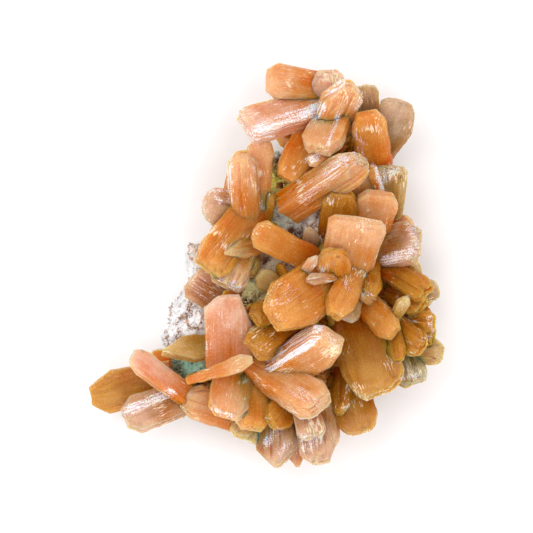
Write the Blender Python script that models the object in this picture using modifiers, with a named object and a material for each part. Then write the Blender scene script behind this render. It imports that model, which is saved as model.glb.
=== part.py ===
"""Stilbite with mordenite: a hand-sized cluster of peach stilbite crystals grown on a rock.

The rock carries a coat of mordenite. It is cut flat at its back and rests on that cut, so the crystals
point up. +Z is up, +Y points to the narrow crown and +X to its right when it is seen from above.
Every place and size below is in millimetres, measured from the middle of the cut. The objects are in metres.
"""

import math
from dataclasses import dataclass

import bmesh
import bpy
from mathutils import Matrix, Vector

MM = 0.001
WELD_MM = 0.002
FLAT_ANGLE = math.radians(1.0)

# A crystal that cuts its neighbour is this much bigger all round, which leaves a gap of 0.3 mm or more
GROWN_SIDE_MM = 0.42
GROWN_END_MM = 0.55
MATRIX_CLEARANCE_MM = 0.45

# Run of a bevel for each unit of its depth, and how full a rounded end is
BEVEL_RUN = 0.9
ROUND_FULLNESS = 0.58

# The rock is lumps run together, lumps smaller than these pushed in and out, and a box that cuts its back flat
LUMP_SUBDIVISIONS = 3
ROCK_VOXEL_MM = 1.6
ROCK_LUMP_SIZE_MM = 6.0
ROCK_RELIEF_MM = 3.0
ROCK_FACET_SHARE = 0.10
CUT_BOX_MM = (140, 140, 50)

PEACH = (0.80, 0.42, 0.22)
STILBITE_COLOURS = {
    "centre_blade": (0.82, 0.46, 0.16),
    "yellow_prism": (0.78, 0.52, 0.25),
    "pearly_crystal": (0.82, 0.45, 0.30),
    "crown_left_spray": (0.80, 0.42, 0.27),
    "pale_leaf": (0.62, 0.52, 0.32),
}
STILBITE_ROUGHNESS = 0.35
MORDENITE_COLOUR = (0.62, 0.60, 0.48)
MORDENITE_ROUGHNESS = 0.9


@dataclass(frozen=True)
class Crystal:
    """One stilbite crystal: a flattened prism from its root to its tip.

    roll turns the broad face about the length, clockwise seen from the root. shoulders are the shares of the
    length where the left and the right side start to close in, and end is the width left at the tip.
    waist is the width at the root. end and waist are shares of the full width, and side is the share of the
    thickness that is a flat side. A rounded crystal has one more corner between each shoulder and the tip.
    """

    root: tuple
    tip: tuple
    width: float
    thickness: float
    roll: float = 0.0
    end: float = 0.5
    shoulders: tuple = (0.8, 0.8)
    waist: float = 0.75
    side: float = 0.5
    rounded: bool = False


SPRAYS = {
    "crown_left_spray": [
        Crystal((14.5, 44.4, 20), (0.1, 46.6, 28), 9.0, 5.4, roll=10, end=0.62, shoulders=(0.82, 0.86)),
        Crystal((16.0, 41.2, 20), (-5.5, 34.8, 33), 9.6, 6.0, roll=32, end=0.84, shoulders=(0.95, 0.95), side=0.85),
    ],
    "crown_centre_spray": [
        Crystal((16.0, 36.0, 19), (15.3, 49.1, 25), 9.6, 5.0, end=0.42, shoulders=(0.7, 0.66), rounded=True),
        Crystal((15.0, 33.5, 22), (20.3, 45.4, 36), 9.6, 6.0, roll=24, end=0.24, shoulders=(0.66, 0.78), side=0.7),
        Crystal((18.8, 42.0, 22), (12.6, 28.4, 34), 10.0, 5.4, roll=24, end=0.62, shoulders=(0.8, 0.86), side=0.7),
        Crystal((12.0, 34.6, 23), (4.4, 21.8, 28), 8.0, 3.8, roll=-8, end=0.5, shoulders=(0.7, 0.62), rounded=True),
        Crystal((15.4, 27.6, 29), (10.2, 26.0, 33), 3.6, 2.6, roll=15, end=0.6),
    ],
    "crown_right_spray": [
        Crystal((25.6, 33.0, 15), (24.7, 45.4, 22), 6.6, 3.0, end=0.72, shoulders=(0.93, 0.88)),
        Crystal((28.6, 29.0, 16), (34.4, 41.0, 24), 10.4, 5.0, roll=8, end=0.42, shoulders=(0.85, 0.58), waist=0.4,
                rounded=True),
        Crystal((27.2, 25.6, 20), (24.8, 38.3, 32), 8.8, 5.0, end=0.56, shoulders=(0.72, 0.8), waist=0.95),
    ],
    "centre_sheaf": [
        Crystal((5.0, 14.6, 22), (24.0, 26.6, 35), 9.0, 7.0, roll=50, end=0.6, shoulders=(0.85, 0.85), side=0.85),
    ],
    "left_prism_spray": [
        Crystal((-2.6, 14.6, 22), (-1.5, 32.0, 27), 7.0, 4.2, end=0.5, shoulders=(0.8, 0.8), rounded=True),
        Crystal((-5.0, 8.5, 21), (-6.2, 28.8, 32), 7.6, 5.4, roll=14, end=0.35, shoulders=(0.86, 0.86), waist=0.9),
        Crystal((-5.0, 14.0, 21), (-16.0, 15.4, 25), 9.4, 5.0, end=0.42, shoulders=(0.72, 0.78), rounded=True),
        Crystal((-3.0, 10.0, 20), (0.8, 19.0, 24), 5.8, 3.0, roll=-10, end=0.5),
    ],
    "left_bundle": [
        Crystal((-3.5, 15.5, 21), (-15.0, -1.0, 31), 10.2, 6.0, roll=-12, end=0.7, shoulders=(0.9, 0.75), side=0.6),
        Crystal((-3.5, 10.0, 19), (-10.4, -5.0, 29), 9.6, 5.4, end=0.78, shoulders=(0.9, 0.85)),
        Crystal((-4.6, 8.0, 20), (-4.6, -2.4, 25), 6.0, 4.6, roll=20, end=0.6),
        Crystal((-1.0, 5.4, 24), (-10.4, 3.2, 32), 5.0, 2.8, end=0.15, shoulders=(0.5, 0.6)),
    ],
    "pink_tablet": [
        Crystal((-10.0, -9.0, 17), (-19.0, -3.0, 22), 9.8, 3.6, roll=-18, end=0.6, shoulders=(0.85, 0.75)),
    ],
    "centre_blade": [
        Crystal((12.5, 1.0, 22), (-3.2, 9.0, 33), 7.2, 3.2, end=0.55, shoulders=(0.9, 0.9), waist=0.95),
    ],
    "small_leaf": [
        Crystal((4.0, -6.4, 20), (-2.2, -1.7, 26), 6.0, 2.2, end=0.4, shoulders=(0.7, 0.7), waist=0.6, rounded=True),
    ],
    "pale_leaf": [
        Crystal((12.4, 3.6, 19), (10.2, 9.6, 26), 3.8, 1.8, end=0.4, shoulders=(0.7, 0.7), waist=0.8),
    ],
    "right_upper_spray": [
        Crystal((25.5, 8.0, 19), (28.2, 18.4, 29), 10.2, 4.4, roll=8, end=0.62, shoulders=(0.85, 0.78), waist=0.9),
        Crystal((28.6, 18.0, 22), (26.2, 24.9, 28), 3.8, 3.0, roll=75, end=0.5, side=0.8),
        Crystal((25.2, 13.0, 19), (23.6, 23.6, 26), 6.4, 4.0, end=0.6),
    ],
    "yellow_tablet": [
        Crystal((31.0, 13.0, 15), (31.1, 25.4, 23), 8.8, 5.0, roll=-12, end=0.72, shoulders=(0.86, 0.9), waist=0.5),
    ],
    "centre_block_spray": [
        Crystal((19.2, -2.6, 22), (22.8, 11.8, 37), 14.6, 6.4, roll=8, end=0.8, shoulders=(0.92, 0.9), waist=0.7),
        Crystal((16.2, -5.4, 25), (17.0, 4.2, 36), 8.8, 5.0, end=0.45, shoulders=(0.7, 0.7), waist=0.6, rounded=True),
        Crystal((17.0, -2.4, 31), (9.6, -3.4, 36), 3.0, 1.8, roll=15, end=0.3),
    ],
    "fluted_crystal": [
        Crystal((17.0, 7.0, 19), (18.8, 18.6, 30), 9.2, 4.6, end=0.6, waist=0.9),
    ],
    "right_fan": [
        Crystal((28.0, 4.2, 18), (38.2, 6.4, 26), 11.2, 5.4, roll=-28, end=0.6, shoulders=(0.64, 0.92), side=0.8),
        Crystal((33.5, -2.6, 17), (38.4, 0.2, 21), 5.0, 3.2, end=0.5),
        Crystal((37.0, -7.8, 17), (43.2, -5.0, 18), 5.8, 3.4, end=0.5, rounded=True),
        Crystal((29.0, 0.2, 17), (40.4, -6.8, 26), 7.0, 5.0, roll=-14, end=0.66, shoulders=(0.85, 0.9)),
        Crystal((31.0, -6.5, 16), (39.4, -10.2, 24), 7.0, 5.0, roll=-10, end=0.6),
    ],
    "recess_wall": [
        Crystal((26.4, 1.0, 20), (26.0, -7.2, 31), 4.8, 4.6, roll=18, end=0.5, waist=0.9),
        Crystal((27.2, -9.4, 22), (23.6, -5.8, 29), 4.0, 3.0, end=0.5),
    ],
    "yellow_prism": [
        Crystal((30.0, -16.6, 22), (34.8, -7.4, 31), 3.0, 2.6, roll=35, end=0.5, shoulders=(0.88, 0.88), side=0.6),
    ],
    "lower_right_spray": [
        Crystal((22.6, -13.0, 18), (28.2, -32.0, 28), 15.0, 6.4, roll=8, end=0.5, shoulders=(0.8, 0.66), waist=0.8,
                rounded=True),
        Crystal((23.5, -7.6, 20), (32.0, -16.8, 29), 7.4, 4.4, roll=14, end=0.55),
        Crystal((31.5, -12.6, 17), (42.2, -14.2, 24), 5.6, 4.0, roll=10, end=0.6, rounded=True),
        Crystal((32.0, -17.0, 16), (42.2, -17.6, 22), 6.0, 4.0, roll=-14, end=0.7),
        Crystal((32.5, -19.2, 15), (44.4, -22.0, 21), 7.0, 4.4, end=0.45, rounded=True),
        Crystal((31.0, -13.5, 19), (38.8, -21.0, 28), 7.4, 4.6, roll=8, end=0.55),
        Crystal((33.4, -17.5, 16), (37.2, -29.6, 21), 8.4, 4.6, end=0.66, shoulders=(0.85, 0.9)),
        Crystal((36.2, -20.0, 15), (38.6, -29.2, 18), 4.6, 3.2, end=0.6),
        Crystal((31.0, -12.0, 20), (32.8, -23.6, 28), 5.4, 3.4, roll=25, end=0.4),
    ],
    "grey_crystal": [
        Crystal((22.6, -6.2, 22), (19.8, -13.4, 31), 5.4, 3.2, end=0.6),
    ],
    "bottom_right_tablet": [
        Crystal((20.2, -27.5, 14), (23.3, -41.8, 21), 11.0, 5.2, end=0.5, shoulders=(0.74, 0.64), waist=0.9,
                rounded=True),
        Crystal((19.4, -25.0, 15), (18.0, -37.2, 22), 5.6, 3.6, roll=20, end=0.3),
    ],
    "heart_spray": [
        Crystal((16.4, -2.0, 25), (1.6, -12.8, 40), 14.4, 7.4, roll=-8, end=0.5, shoulders=(0.64, 0.74), side=0.6),
        Crystal((23.0, 1.4, 24), (16.6, -12.6, 36), 7.8, 5.4, roll=-10, end=0.45, shoulders=(0.8, 0.78)),
        Crystal((7.2, -4.2, 30), (12.6, 2.8, 37), 2.6, 2.0, end=0.2),
    ],
    "under_heart_spray": [
        Crystal((6.5, -13.0, 21), (-4.0, -20.2, 31), 7.6, 4.6, roll=20, end=0.62, waist=0.9),
        Crystal((4.0, -8.6, 21), (-3.2, -13.2, 30), 6.6, 4.4, roll=10, end=0.6),
        Crystal((5.0, -17.6, 20), (-2.8, -22.2, 28), 5.4, 4.0, end=0.5),
    ],
    "pearly_crystal": [
        Crystal((2.4, -26.6, 21), (16.8, -17.6, 36), 10.0, 8.0, roll=32, end=0.66, shoulders=(0.9, 0.74), side=0.8),
    ],
    "left_tablet_spray": [
        Crystal((-9.2, -26.0, 20), (-9.3, -7.2, 32), 12.8, 5.0, roll=10, end=0.42, shoulders=(0.86, 0.46), waist=0.85),
    ],
    "thin_lath": [
        Crystal((-19.6, -28.6, 27), (-3.0, -22.9, 34), 4.6, 2.8, roll=-12, end=0.4, waist=0.4, shoulders=(0.85, 0.8)),
    ],
    "olive_blade": [
        Crystal((-12.0, -19.6, 18), (-26.2, -21.6, 24), 7.0, 4.4, roll=28, end=0.15, shoulders=(0.5, 0.6)),
    ],
    "spur_spray": [
        Crystal((-23.5, -28.2, 15), (-44.5, -32.6, 13), 10.8, 5.0, roll=-14, end=0.42, shoulders=(0.84, 0.72)),
        Crystal((-18.0, -31.8, 16), (-35.8, -38.2, 21), 9.4, 5.2, roll=22, end=0.5, shoulders=(0.86, 0.84), side=0.7),
        Crystal((-21.2, -34.6, 15), (-21.7, -38.3, 15), 2.4, 2.4, end=0.8, shoulders=(0.9, 0.9)),
    ],
    "crossing_blade": [
        Crystal((-19.6, -32.6, 21), (-33.8, -22.0, 27), 6.4, 3.8, roll=26, end=0.55, side=0.7, rounded=True),
    ],
    "lower_left_tablets": [
        Crystal((-8.0, -24.0, 19), (-9.8, -37.4, 31), 10.0, 4.4, roll=-8, end=0.6, shoulders=(0.84, 0.84), waist=0.9),
        Crystal((-4.6, -24.0, 18), (-3.4, -40.6, 27), 9.0, 5.2, roll=-24, end=0.6, shoulders=(0.84, 0.84), side=0.7),
    ],
    "lower_left_spray": [
        Crystal((-4.0, -38.8, 15), (-21.0, -32.8, 22), 9.0, 5.0, roll=-10, end=0.55, shoulders=(0.8, 0.85)),
        Crystal((-4.4, -35.0, 16), (-6.4, -43.0, 21), 6.4, 4.0, end=0.5),
    ],
    "lower_sheaf": [
        Crystal((-2.6, -24.8, 20), (13.6, -34.6, 34), 10.6, 6.8, roll=-30, end=0.7, shoulders=(0.85, 0.9), waist=0.6,
                side=0.75),
    ],
    "foot_spray": [
        Crystal((-0.2, -36.0, 16), (-3.2, -44.4, 20), 7.4, 4.2, end=0.5, rounded=True),
        Crystal((2.4, -36.0, 17), (2.6, -50.4, 22), 10.6, 5.4, roll=10, end=0.15, shoulders=(0.72, 0.68), waist=0.9),
        Crystal((6.2, -37.0, 16), (7.9, -50.7, 19), 5.6, 3.6, end=0.15, shoulders=(0.7, 0.7)),
        Crystal((11.4, -32.0, 18), (13.6, -49.4, 25), 10.4, 5.6, roll=8, end=0.42, shoulders=(0.66, 0.82), waist=0.95),
        Crystal((9.0, -33.0, 23), (11.6, -42.8, 30), 7.4, 4.0, end=0.6, rounded=True),
        Crystal((8.8, -31.0, 19), (1.0, -39.4, 27), 8.0, 4.2, roll=-14, end=0.5),
    ],
    "crown_flank_spray": [
        Crystal((20.0, 36.0, 8), (13.0, 44.6, 16), 8.0, 4.4, roll=12, end=0.5),
        Crystal((20.0, 36.0, 8), (20.4, 45.6, 17), 8.4, 4.4, end=0.45, rounded=True),
        Crystal((20.6, 35.5, 8), (28.0, 41.0, 15), 7.4, 4.2, roll=-12, end=0.5),
    ],
    "crown_underside_crystal": [
        Crystal((10.0, 32.0, 10), (1.6, 37.6, 20), 6.6, 4.2, roll=10, end=0.5),
    ],
    "right_flank_spray": [
        Crystal((27.5, 11.6, 7), (32.0, 19.4, 15), 6.4, 4.2, roll=-10, end=0.5),
        Crystal((27.5, 11.0, 7), (36.6, 9.0, 15), 7.4, 4.2, roll=14, end=0.45, rounded=True),
        Crystal((27.5, 9.5, 7), (36.4, 3.6, 14), 7.2, 4.0, end=0.5),
    ],
    "fan_flank_spray": [
        Crystal((34.0, -8.5, 6), (41.0, -6.4, 13), 7.2, 4.0, roll=12, end=0.5, rounded=True),
        Crystal((33.5, -9.5, 6), (40.4, -15.0, 14), 7.6, 4.2, roll=-10, end=0.5),
    ],
    "lower_right_flank_spray": [
        Crystal((33.0, -19.0, 6), (42.4, -21.0, 13), 8.0, 4.4, roll=-14, end=0.45, rounded=True),
        Crystal((32.5, -19.5, 6), (38.4, -27.0, 13), 7.4, 4.2, roll=8, end=0.5),
        Crystal((31.5, -20.0, 6), (30.4, -30.4, 14), 7.6, 4.2, end=0.5),
    ],
    "foot_flank_spray": [
        Crystal((16.0, -34.5, 6), (23.4, -39.6, 12), 7.4, 4.2, roll=-12, end=0.5),
        Crystal((15.0, -35.0, 6), (14.4, -45.8, 14), 7.6, 4.4, end=0.45, rounded=True),
        Crystal((14.0, -35.0, 6), (7.6, -46.0, 13), 7.8, 4.4, roll=10, end=0.5),
    ],
    "lower_left_flank_spray": [
        Crystal((-0.5, -35.0, 6), (1.6, -45.6, 13), 7.4, 4.2, roll=-8, end=0.5),
        Crystal((-1.5, -35.0, 6), (-6.4, -41.4, 13), 7.2, 4.2, roll=10, end=0.5, rounded=True),
    ],
    "left_flank_spray": [
        Crystal((-10.0, 13.0, 7), (-14.6, 16.2, 15), 7.0, 4.0, roll=12, end=0.5, rounded=True),
        Crystal((-9.0, 14.5, 7), (-6.4, 24.6, 16), 6.6, 4.0, end=0.45),
    ],
}

# Lumps of rock that grow into one body: middle and half axes
ROCK_LUMPS = [
    ((3.0, -10.0, 7.0), (21.0, 21.0, 17.0)),
    ((15.0, 10.0, 7.0), (14.0, 17.0, 16.0)),
    ((2.4, 19.4, 6.0), (6.4, 10.6, 13.0)),
    ((20.0, 30.0, 7.0), (9.0, 9.0, 12.5)),
    ((12.5, 29.0, 7.0), (6.0, 7.0, 12.0)),
    ((-17.0, -14.0, 7.0), (8.9, 11.0, 13.0)),
    ((-20.2, -18.4, 6.0), (7.8, 6.6, 11.0)),
    ((-12.0, -6.0, 7.0), (8.6, 9.0, 13.0)),
    ((-17.2, 1.8, 8.0), (5.6, 5.6, 8.6)),
    ((7.0, -30.0, 6.0), (15.0, 9.5, 13.0)),
    ((26.0, -11.0, 6.0), (10.0, 16.0, 13.0)),
    ((-16.0, -26.0, 5.0), (10.0, 7.5, 12.0)),
    ((-6.0, 8.0, 6.0), (8.0, 12.0, 13.0)),
]


def frame_of(crystal):
    """The crystal's length, and its axes as a matrix: across the width, along the length, through the thickness."""
    root = Vector(crystal.root)
    along = Vector(crystal.tip) - root
    length = along.length
    along.normalize()
    right = along.cross(Vector((0, 0, 1))).normalized()
    upright = Matrix((right, along, right.cross(along))).transposed().to_4x4()
    turn = Matrix.Rotation(math.radians(crystal.roll), 4, "Y")
    return length, Matrix.Translation(root) @ upright @ turn


def outline_of(crystal, length):
    """Corners of the broad face, as distances to the right and along the length."""
    half = crystal.width / 2
    left_shoulder, right_shoulder = (share * length for share in crystal.shoulders)
    end = crystal.end * half
    full = ROUND_FULLNESS
    corners = [(-half * crystal.waist, 0), (-half, left_shoulder)]
    if crystal.rounded:
        corners.append((-full * half - (1 - full) * end, (left_shoulder + 2 * length) / 3))
    corners += [(-end, length), (end, length)]
    if crystal.rounded:
        corners.append((full * half + (1 - full) * end, (right_shoulder + 2 * length) / 3))
    return corners + [(half, right_shoulder), (half * crystal.waist, 0)]


def push_face(bm, face, rise, keep_across=1.0, keep_along=1.0):
    """Extrudes a face through the thickness, and draws it in towards the root and the middle line."""
    made = bmesh.ops.extrude_face_region(bm, geom=[face])["geom"]
    for corner in (piece for piece in made if isinstance(piece, bmesh.types.BMVert)):
        x, y, z = corner.co
        corner.co = (x * keep_across, y * keep_along, z + rise)
    return next(piece for piece in made if isinstance(piece, bmesh.types.BMFace))


def crystal_mesh(crystal, grown=False):
    """A closed prism on the crystal's outline, bevelled towards both broad faces. Grown, it clears the crystal."""
    grow_side, grow_end = (GROWN_SIDE_MM, GROWN_END_MM) if grown else (0, 0)
    length, place = frame_of(crystal)
    half_depth = crystal.thickness / 2 + grow_side
    flat = half_depth * crystal.side
    bevel = half_depth - flat
    widen = 1 + 2 * grow_side / crystal.width
    outline = [(x * widen, y * (length + 2 * grow_end) / length - grow_end) for x, y in outline_of(crystal, length)]
    bm = bmesh.new()
    middle = bm.faces.new([bm.verts.new((x, y, -flat)) for x, y in outline])
    keep = (1 - 2 * BEVEL_RUN * bevel / crystal.width, 1 - BEVEL_RUN * bevel / length)
    front = push_face(bm, middle, 2 * flat)
    push_face(bm, front, bevel, *keep)
    push_face(bm, middle, -bevel, *keep)
    bmesh.ops.delete(bm, geom=[front, middle], context="FACES_ONLY")
    bmesh.ops.recalc_face_normals(bm, faces=bm.faces)
    bmesh.ops.triangulate(bm, faces=bm.faces)
    bm.transform(place)
    mesh = bpy.data.meshes.new("crystal")
    bm.to_mesh(mesh)
    bm.free()
    return mesh


def add_object(name, mesh, collection):
    """An object for a mesh, in a collection."""
    thing = bpy.data.objects.new(name, mesh)
    collection.objects.link(thing)
    return thing


def add_cutter(mesh):
    """An object that only cuts or joins others."""
    cutter = add_object("cutter", mesh, CUTTERS)
    cutter.display_type = "WIRE"
    cutter.hide_render = True
    return cutter


def boolean(thing, operation, others):
    """Joins or cuts an object with others, and keeps the result as its mesh."""
    group = bpy.data.collections.new("operands")
    for other in others:
        group.objects.link(other)
    modifier = thing.modifiers.new(operation.lower(), "BOOLEAN")
    modifier.operation = operation
    modifier.operand_type = "COLLECTION"
    modifier.collection = group
    modifier.solver = "EXACT"
    settle(thing)
    bpy.data.collections.remove(group)


def settle(thing):
    """Replaces an object's mesh by what its modifiers make of it."""
    bpy.context.view_layer.update()
    made = bpy.data.meshes.new_from_object(thing.evaluated_get(bpy.context.evaluated_depsgraph_get()))
    thing.modifiers.clear()
    thing.data = made


def volume_of(faces):
    """Signed volume under some triangles."""
    return sum(f.verts[0].co.dot(f.verts[1].co.cross(f.verts[2].co)) for f in faces) / 6


def keep_main_body(thing):
    """Welds and triangulates a solid, and drops the crumbs that a cut leaves beside it."""
    bm = bmesh.new()
    bm.from_mesh(thing.data)
    bmesh.ops.remove_doubles(bm, verts=bm.verts, dist=WELD_MM)
    bmesh.ops.dissolve_degenerate(bm, edges=bm.edges, dist=WELD_MM)
    bmesh.ops.dissolve_limit(bm, angle_limit=FLAT_ANGLE, verts=bm.verts, edges=bm.edges)
    bmesh.ops.triangulate(bm, faces=bm.faces)
    bodies = []
    left = set(bm.faces)
    while left:
        body, edge_of_body = set(), [next(iter(left))]
        while edge_of_body:
            face = edge_of_body.pop()
            if face in left:
                left.remove(face)
                body.add(face)
                edge_of_body += [f for edge in face.edges for f in edge.link_faces if f in left]
        bodies.append(body)
    main = max(bodies, key=volume_of)
    bmesh.ops.delete(bm, geom=[f for f in bm.faces if f not in main], context="FACES")
    bm.to_mesh(thing.data)
    bm.free()


def paint(thing, colour, roughness):
    """Gives an object its own material."""
    material = bpy.data.materials.new(thing.name)
    material.use_nodes = True
    shader = material.node_tree.nodes["Principled BSDF"]
    shader.inputs["Base Color"].default_value = (*colour, 1)
    shader.inputs["Roughness"].default_value = roughness
    shader.inputs["Metallic"].default_value = 0.0
    thing.data.materials.clear()
    thing.data.materials.append(material)


def make_rock():
    """The rock under the crystals: lumps that run into each other, roughened and cut flat at the back."""
    bm = bmesh.new()
    for middle, half_axes in ROCK_LUMPS:
        shape = Matrix.LocRotScale(Vector(middle), None, Vector(half_axes))
        bmesh.ops.create_icosphere(bm, subdivisions=LUMP_SUBDIVISIONS, radius=1, matrix=shape)
    mesh = bpy.data.meshes.new("matrix")
    bm.to_mesh(mesh)
    bm.free()
    rock = add_object("matrix", mesh, PARTS)
    remesh = rock.modifiers.new("run together", "REMESH")
    remesh.mode = "VOXEL"
    remesh.voxel_size = ROCK_VOXEL_MM
    lumps = bpy.data.textures.new("rock lumps", "CLOUDS")
    lumps.noise_scale = ROCK_LUMP_SIZE_MM
    rough = rock.modifiers.new("roughen", "DISPLACE")
    rough.texture = lumps
    rough.texture_coords = "LOCAL"
    rough.strength = ROCK_RELIEF_MM
    rough.mid_level = 0.5
    fewer = rock.modifiers.new("facet", "DECIMATE")
    fewer.ratio = ROCK_FACET_SHARE
    settle(rock)
    bm = bmesh.new()
    box_middle = Vector((0, 0, -CUT_BOX_MM[2] / 2))
    bmesh.ops.create_cube(bm, size=1, matrix=Matrix.LocRotScale(box_middle, None, Vector(CUT_BOX_MM)))
    below = bpy.data.meshes.new("below the cut")
    bm.to_mesh(below)
    bm.free()
    boolean(rock, "DIFFERENCE", [add_cutter(below)])
    keep_main_body(rock)
    return rock


def make_clearance(rock):
    """A slightly fatter copy of the rock, which cuts the crystals free of it."""
    cutter = add_cutter(rock.data.copy())
    fatten = cutter.modifiers.new("fatten", "DISPLACE")
    fatten.mid_level = 0
    fatten.strength = MATRIX_CLEARANCE_MM
    settle(cutter)
    return cutter


def boxes_meet(one, other):
    """True where the boxes of two objects meet."""
    ends = []
    for thing in (one, other):
        corners = [v.co for v in thing.data.vertices]
        ends.append([(min(c[i] for c in corners), max(c[i] for c in corners)) for i in range(3)])
    return all(a[0] <= b[1] and b[0] <= a[1] for a, b in zip(*ends))


def make_sprays(rock):
    """Each group of crystals as one solid, cut free of the rock and of the groups made before it."""
    clearance = make_clearance(rock)
    earlier = []
    for name, crystals in SPRAYS.items():
        spray = add_object(name, crystal_mesh(crystals[0]), PARTS)
        others = [add_cutter(crystal_mesh(crystal)) for crystal in crystals[1:]]
        if others:
            boolean(spray, "UNION", others)
        boolean(spray, "DIFFERENCE", [clearance] + [cutter for cutter in earlier if boxes_meet(spray, cutter)])
        keep_main_body(spray)
        paint(spray, STILBITE_COLOURS.get(name, PEACH), STILBITE_ROUGHNESS)
        earlier += [add_cutter(crystal_mesh(crystal, grown=True)) for crystal in crystals]


def main():
    rock = make_rock()
    make_sprays(rock)
    paint(rock, MORDENITE_COLOUR, MORDENITE_ROUGHNESS)
    for cutter in list(CUTTERS.objects):
        bpy.data.objects.remove(cutter)
    for piece in PARTS.objects:
        piece.data.transform(Matrix.Scale(MM, 4))


for leftover in list(bpy.data.objects):
    bpy.data.objects.remove(leftover)
PARTS = bpy.data.collections.new("stilbite_with_mordenite")
CUTTERS = bpy.data.collections.new("cutters")
bpy.context.scene.collection.children.link(PARTS)
bpy.context.scene.collection.children.link(CUTTERS)

if __name__ == "__main__":
    main()
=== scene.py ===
"""Stilbite with mordenite: the looks of the specimen, built around its solids.

Run as a script, it makes every spray of crystals, the rock and the stage. Lengths in the tables below are in
millimetres, with +Z up out of the rock, +Y towards the narrow crown and +X to its right seen from above.
"""

import itertools
import math
import random
from dataclasses import dataclass
from types import SimpleNamespace

import bpy
import numpy as np
from bpy.props import FloatProperty, FloatVectorProperty, IntProperty, PointerProperty
from mathutils import Matrix, Vector
from mathutils.bvhtree import BVHTree


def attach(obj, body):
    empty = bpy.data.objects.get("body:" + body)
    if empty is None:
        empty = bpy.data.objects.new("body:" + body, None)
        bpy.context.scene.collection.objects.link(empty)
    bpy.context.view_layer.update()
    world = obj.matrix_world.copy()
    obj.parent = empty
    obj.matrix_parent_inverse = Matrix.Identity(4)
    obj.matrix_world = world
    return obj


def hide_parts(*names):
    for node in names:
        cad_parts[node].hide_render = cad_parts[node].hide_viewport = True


bl_info = {
    "name": "Stilbite with mordenite",
    "version": (1, 0, 0),
    "blender": (4, 5, 0),
    "location": "3D View > Sidebar > Stilbite",
    "description": "Builds a cluster of peach stilbite crystals on a rock coated with mordenite",
    "category": "Add Mesh",
}

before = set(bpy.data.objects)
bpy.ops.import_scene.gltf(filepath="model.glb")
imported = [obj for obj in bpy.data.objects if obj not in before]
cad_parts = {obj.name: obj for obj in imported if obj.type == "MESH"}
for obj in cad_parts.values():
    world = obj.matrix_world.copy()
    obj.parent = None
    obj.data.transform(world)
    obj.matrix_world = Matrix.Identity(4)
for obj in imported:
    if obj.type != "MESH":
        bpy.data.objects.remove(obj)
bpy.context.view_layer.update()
MM = 0.001

# Run of a bevel for each unit of its depth, and how full a rounded end is
BEVEL_RUN = 0.9
ROUND_FULLNESS = 0.58

# Width of the worn strip along a broad face's rim, and how far the rim lies lower
ROUND_OVER_MM = 0.22
ROUND_OVER_DROP_MM = 0.06

# Neighbours meet closer than their solids do. A crystal's waist is filled by this share, and by less of it
# where the crystal is under twice NARROW_MM wide. Each side stands out by SIDE_FILL_MM
WAIST_FILL = 0.5
NARROW_MM = 4
SIDE_FILL_MM = 0.3

# A broad face is level near its ridge, to this share of half the width, and falls from there and from
# where the nose starts. It falls by at most this share of half the thickness
RIDGE_SHARE = 0.15
RIDGE_PLACES = (-0.5, 0.5)
NOSE_STARTS = (0.72, 0.9)
LEAST_ROOF_ANGLE = 1
LEAST_NOSE_ANGLE = 3
MOST_FALL = 0.6

# Narrowest and widest lath as shares of the usual one, half the gap between two, how far in its inner
# points lie as a share of its width, and the spacing of points along it
LATH_WIDTHS = (0.45, 1.5)
LATH_EDGE_MM = 0.05
LATH_INNER = 0.35
ROW_SPACING_MM = 0.95
FEWEST_ROWS = 7

# Thinnest and thickest plate as shares of the usual one
PLATE_SHARES = (0.6, 1.4)

# Share of the side steps that a smooth crystal keeps, and how many times as far the outermost plates'
# laths fall short
SMOOTH_STEPS = 0.25
OUTER_END_STEPS = 2.0

# Where the outermost laths break off, as shares of the length: past 1 a lath is whole. How often the place
# changes from one lath to the next, and how ragged the break is
BREAK_PLACES = (0.25, 1.5)
FIRST_BREAK = 1.3
BREAK_CHANGE = 0.35
RAGGED = 0.05

# Sizes of the waves in an end and in a side, of the swells of a broad face, and of the hollows in a side
# with their depth. The middle of an end has no hollows
END_WAVE_MM = 2.2
SIDE_WAVE_MM = 2.6
SWELL_MM = 3.6
HOLLOW_MM = 1.6
HOLLOW_DEPTH_MM = 0.12
MIDDLE_MM = 0.5

# The waves of two neighbouring seeds are read this far apart
WAVE_STEP_MM = 1.7

# Pebbles and swells are drawn out along the crystal, and pebbles are this high at the root and full at the
# tip
PEBBLE_SCALE = (1, 0.7, 1)
SWELL_SCALE = (1, 0.6, 1)
ROOT_PEBBLES = 0.3

# A crystal is paler towards its tip, and in its outermost part, where it is thin
PALE_BY_LENGTH = 0.96
THIN_EDGE_MM = 0.9

# A colour is raised to a power by how far light goes: to more than 1 in a thick root, for red, green and
# blue, and to less in a thin tip, which tiny flaws make milky too. The more blue a crystal has, the
# milkier its tip
ROOT_DEPTHS = (1.1, 1.35, 2.2)
TIP_DEPTH = 0.72
MILK = "#E4CCC4"
MILK_GAIN = 3.4
MOST_MILK = 0.3

# A pearly side gets a painted white highlight from this share of the width from the middle. The painted
# highlights set in this sharply, across the width and with how far the surface faces up, towards the lights
PAINTED_HIGHLIGHT_FROM = 0.3
PAINTED_HIGHLIGHT_SHARPNESS = 12

# The first spray's seed, the steps to the next spray's and to the next crystal's, and the first seed of the
# small crystals in the gaps
FIRST_SEED = 11
SPRAY_SEED_STEP = 100
SEED_STEP = 10
SMALL_SEED = 9000

# A sharper edge than this is shaded as an edge
CREASE_ANGLE = math.radians(26)


def linear(code):
    """A colour's sRGB hex code as linear red, green and blue."""
    shares = [int(code[i:i + 2], 16) / 255 for i in (1, 3, 5)]
    return tuple(s / 12.92 if s <= 0.04045 else ((s + 0.055) / 1.055) ** 2.4 for s in shares)


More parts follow.
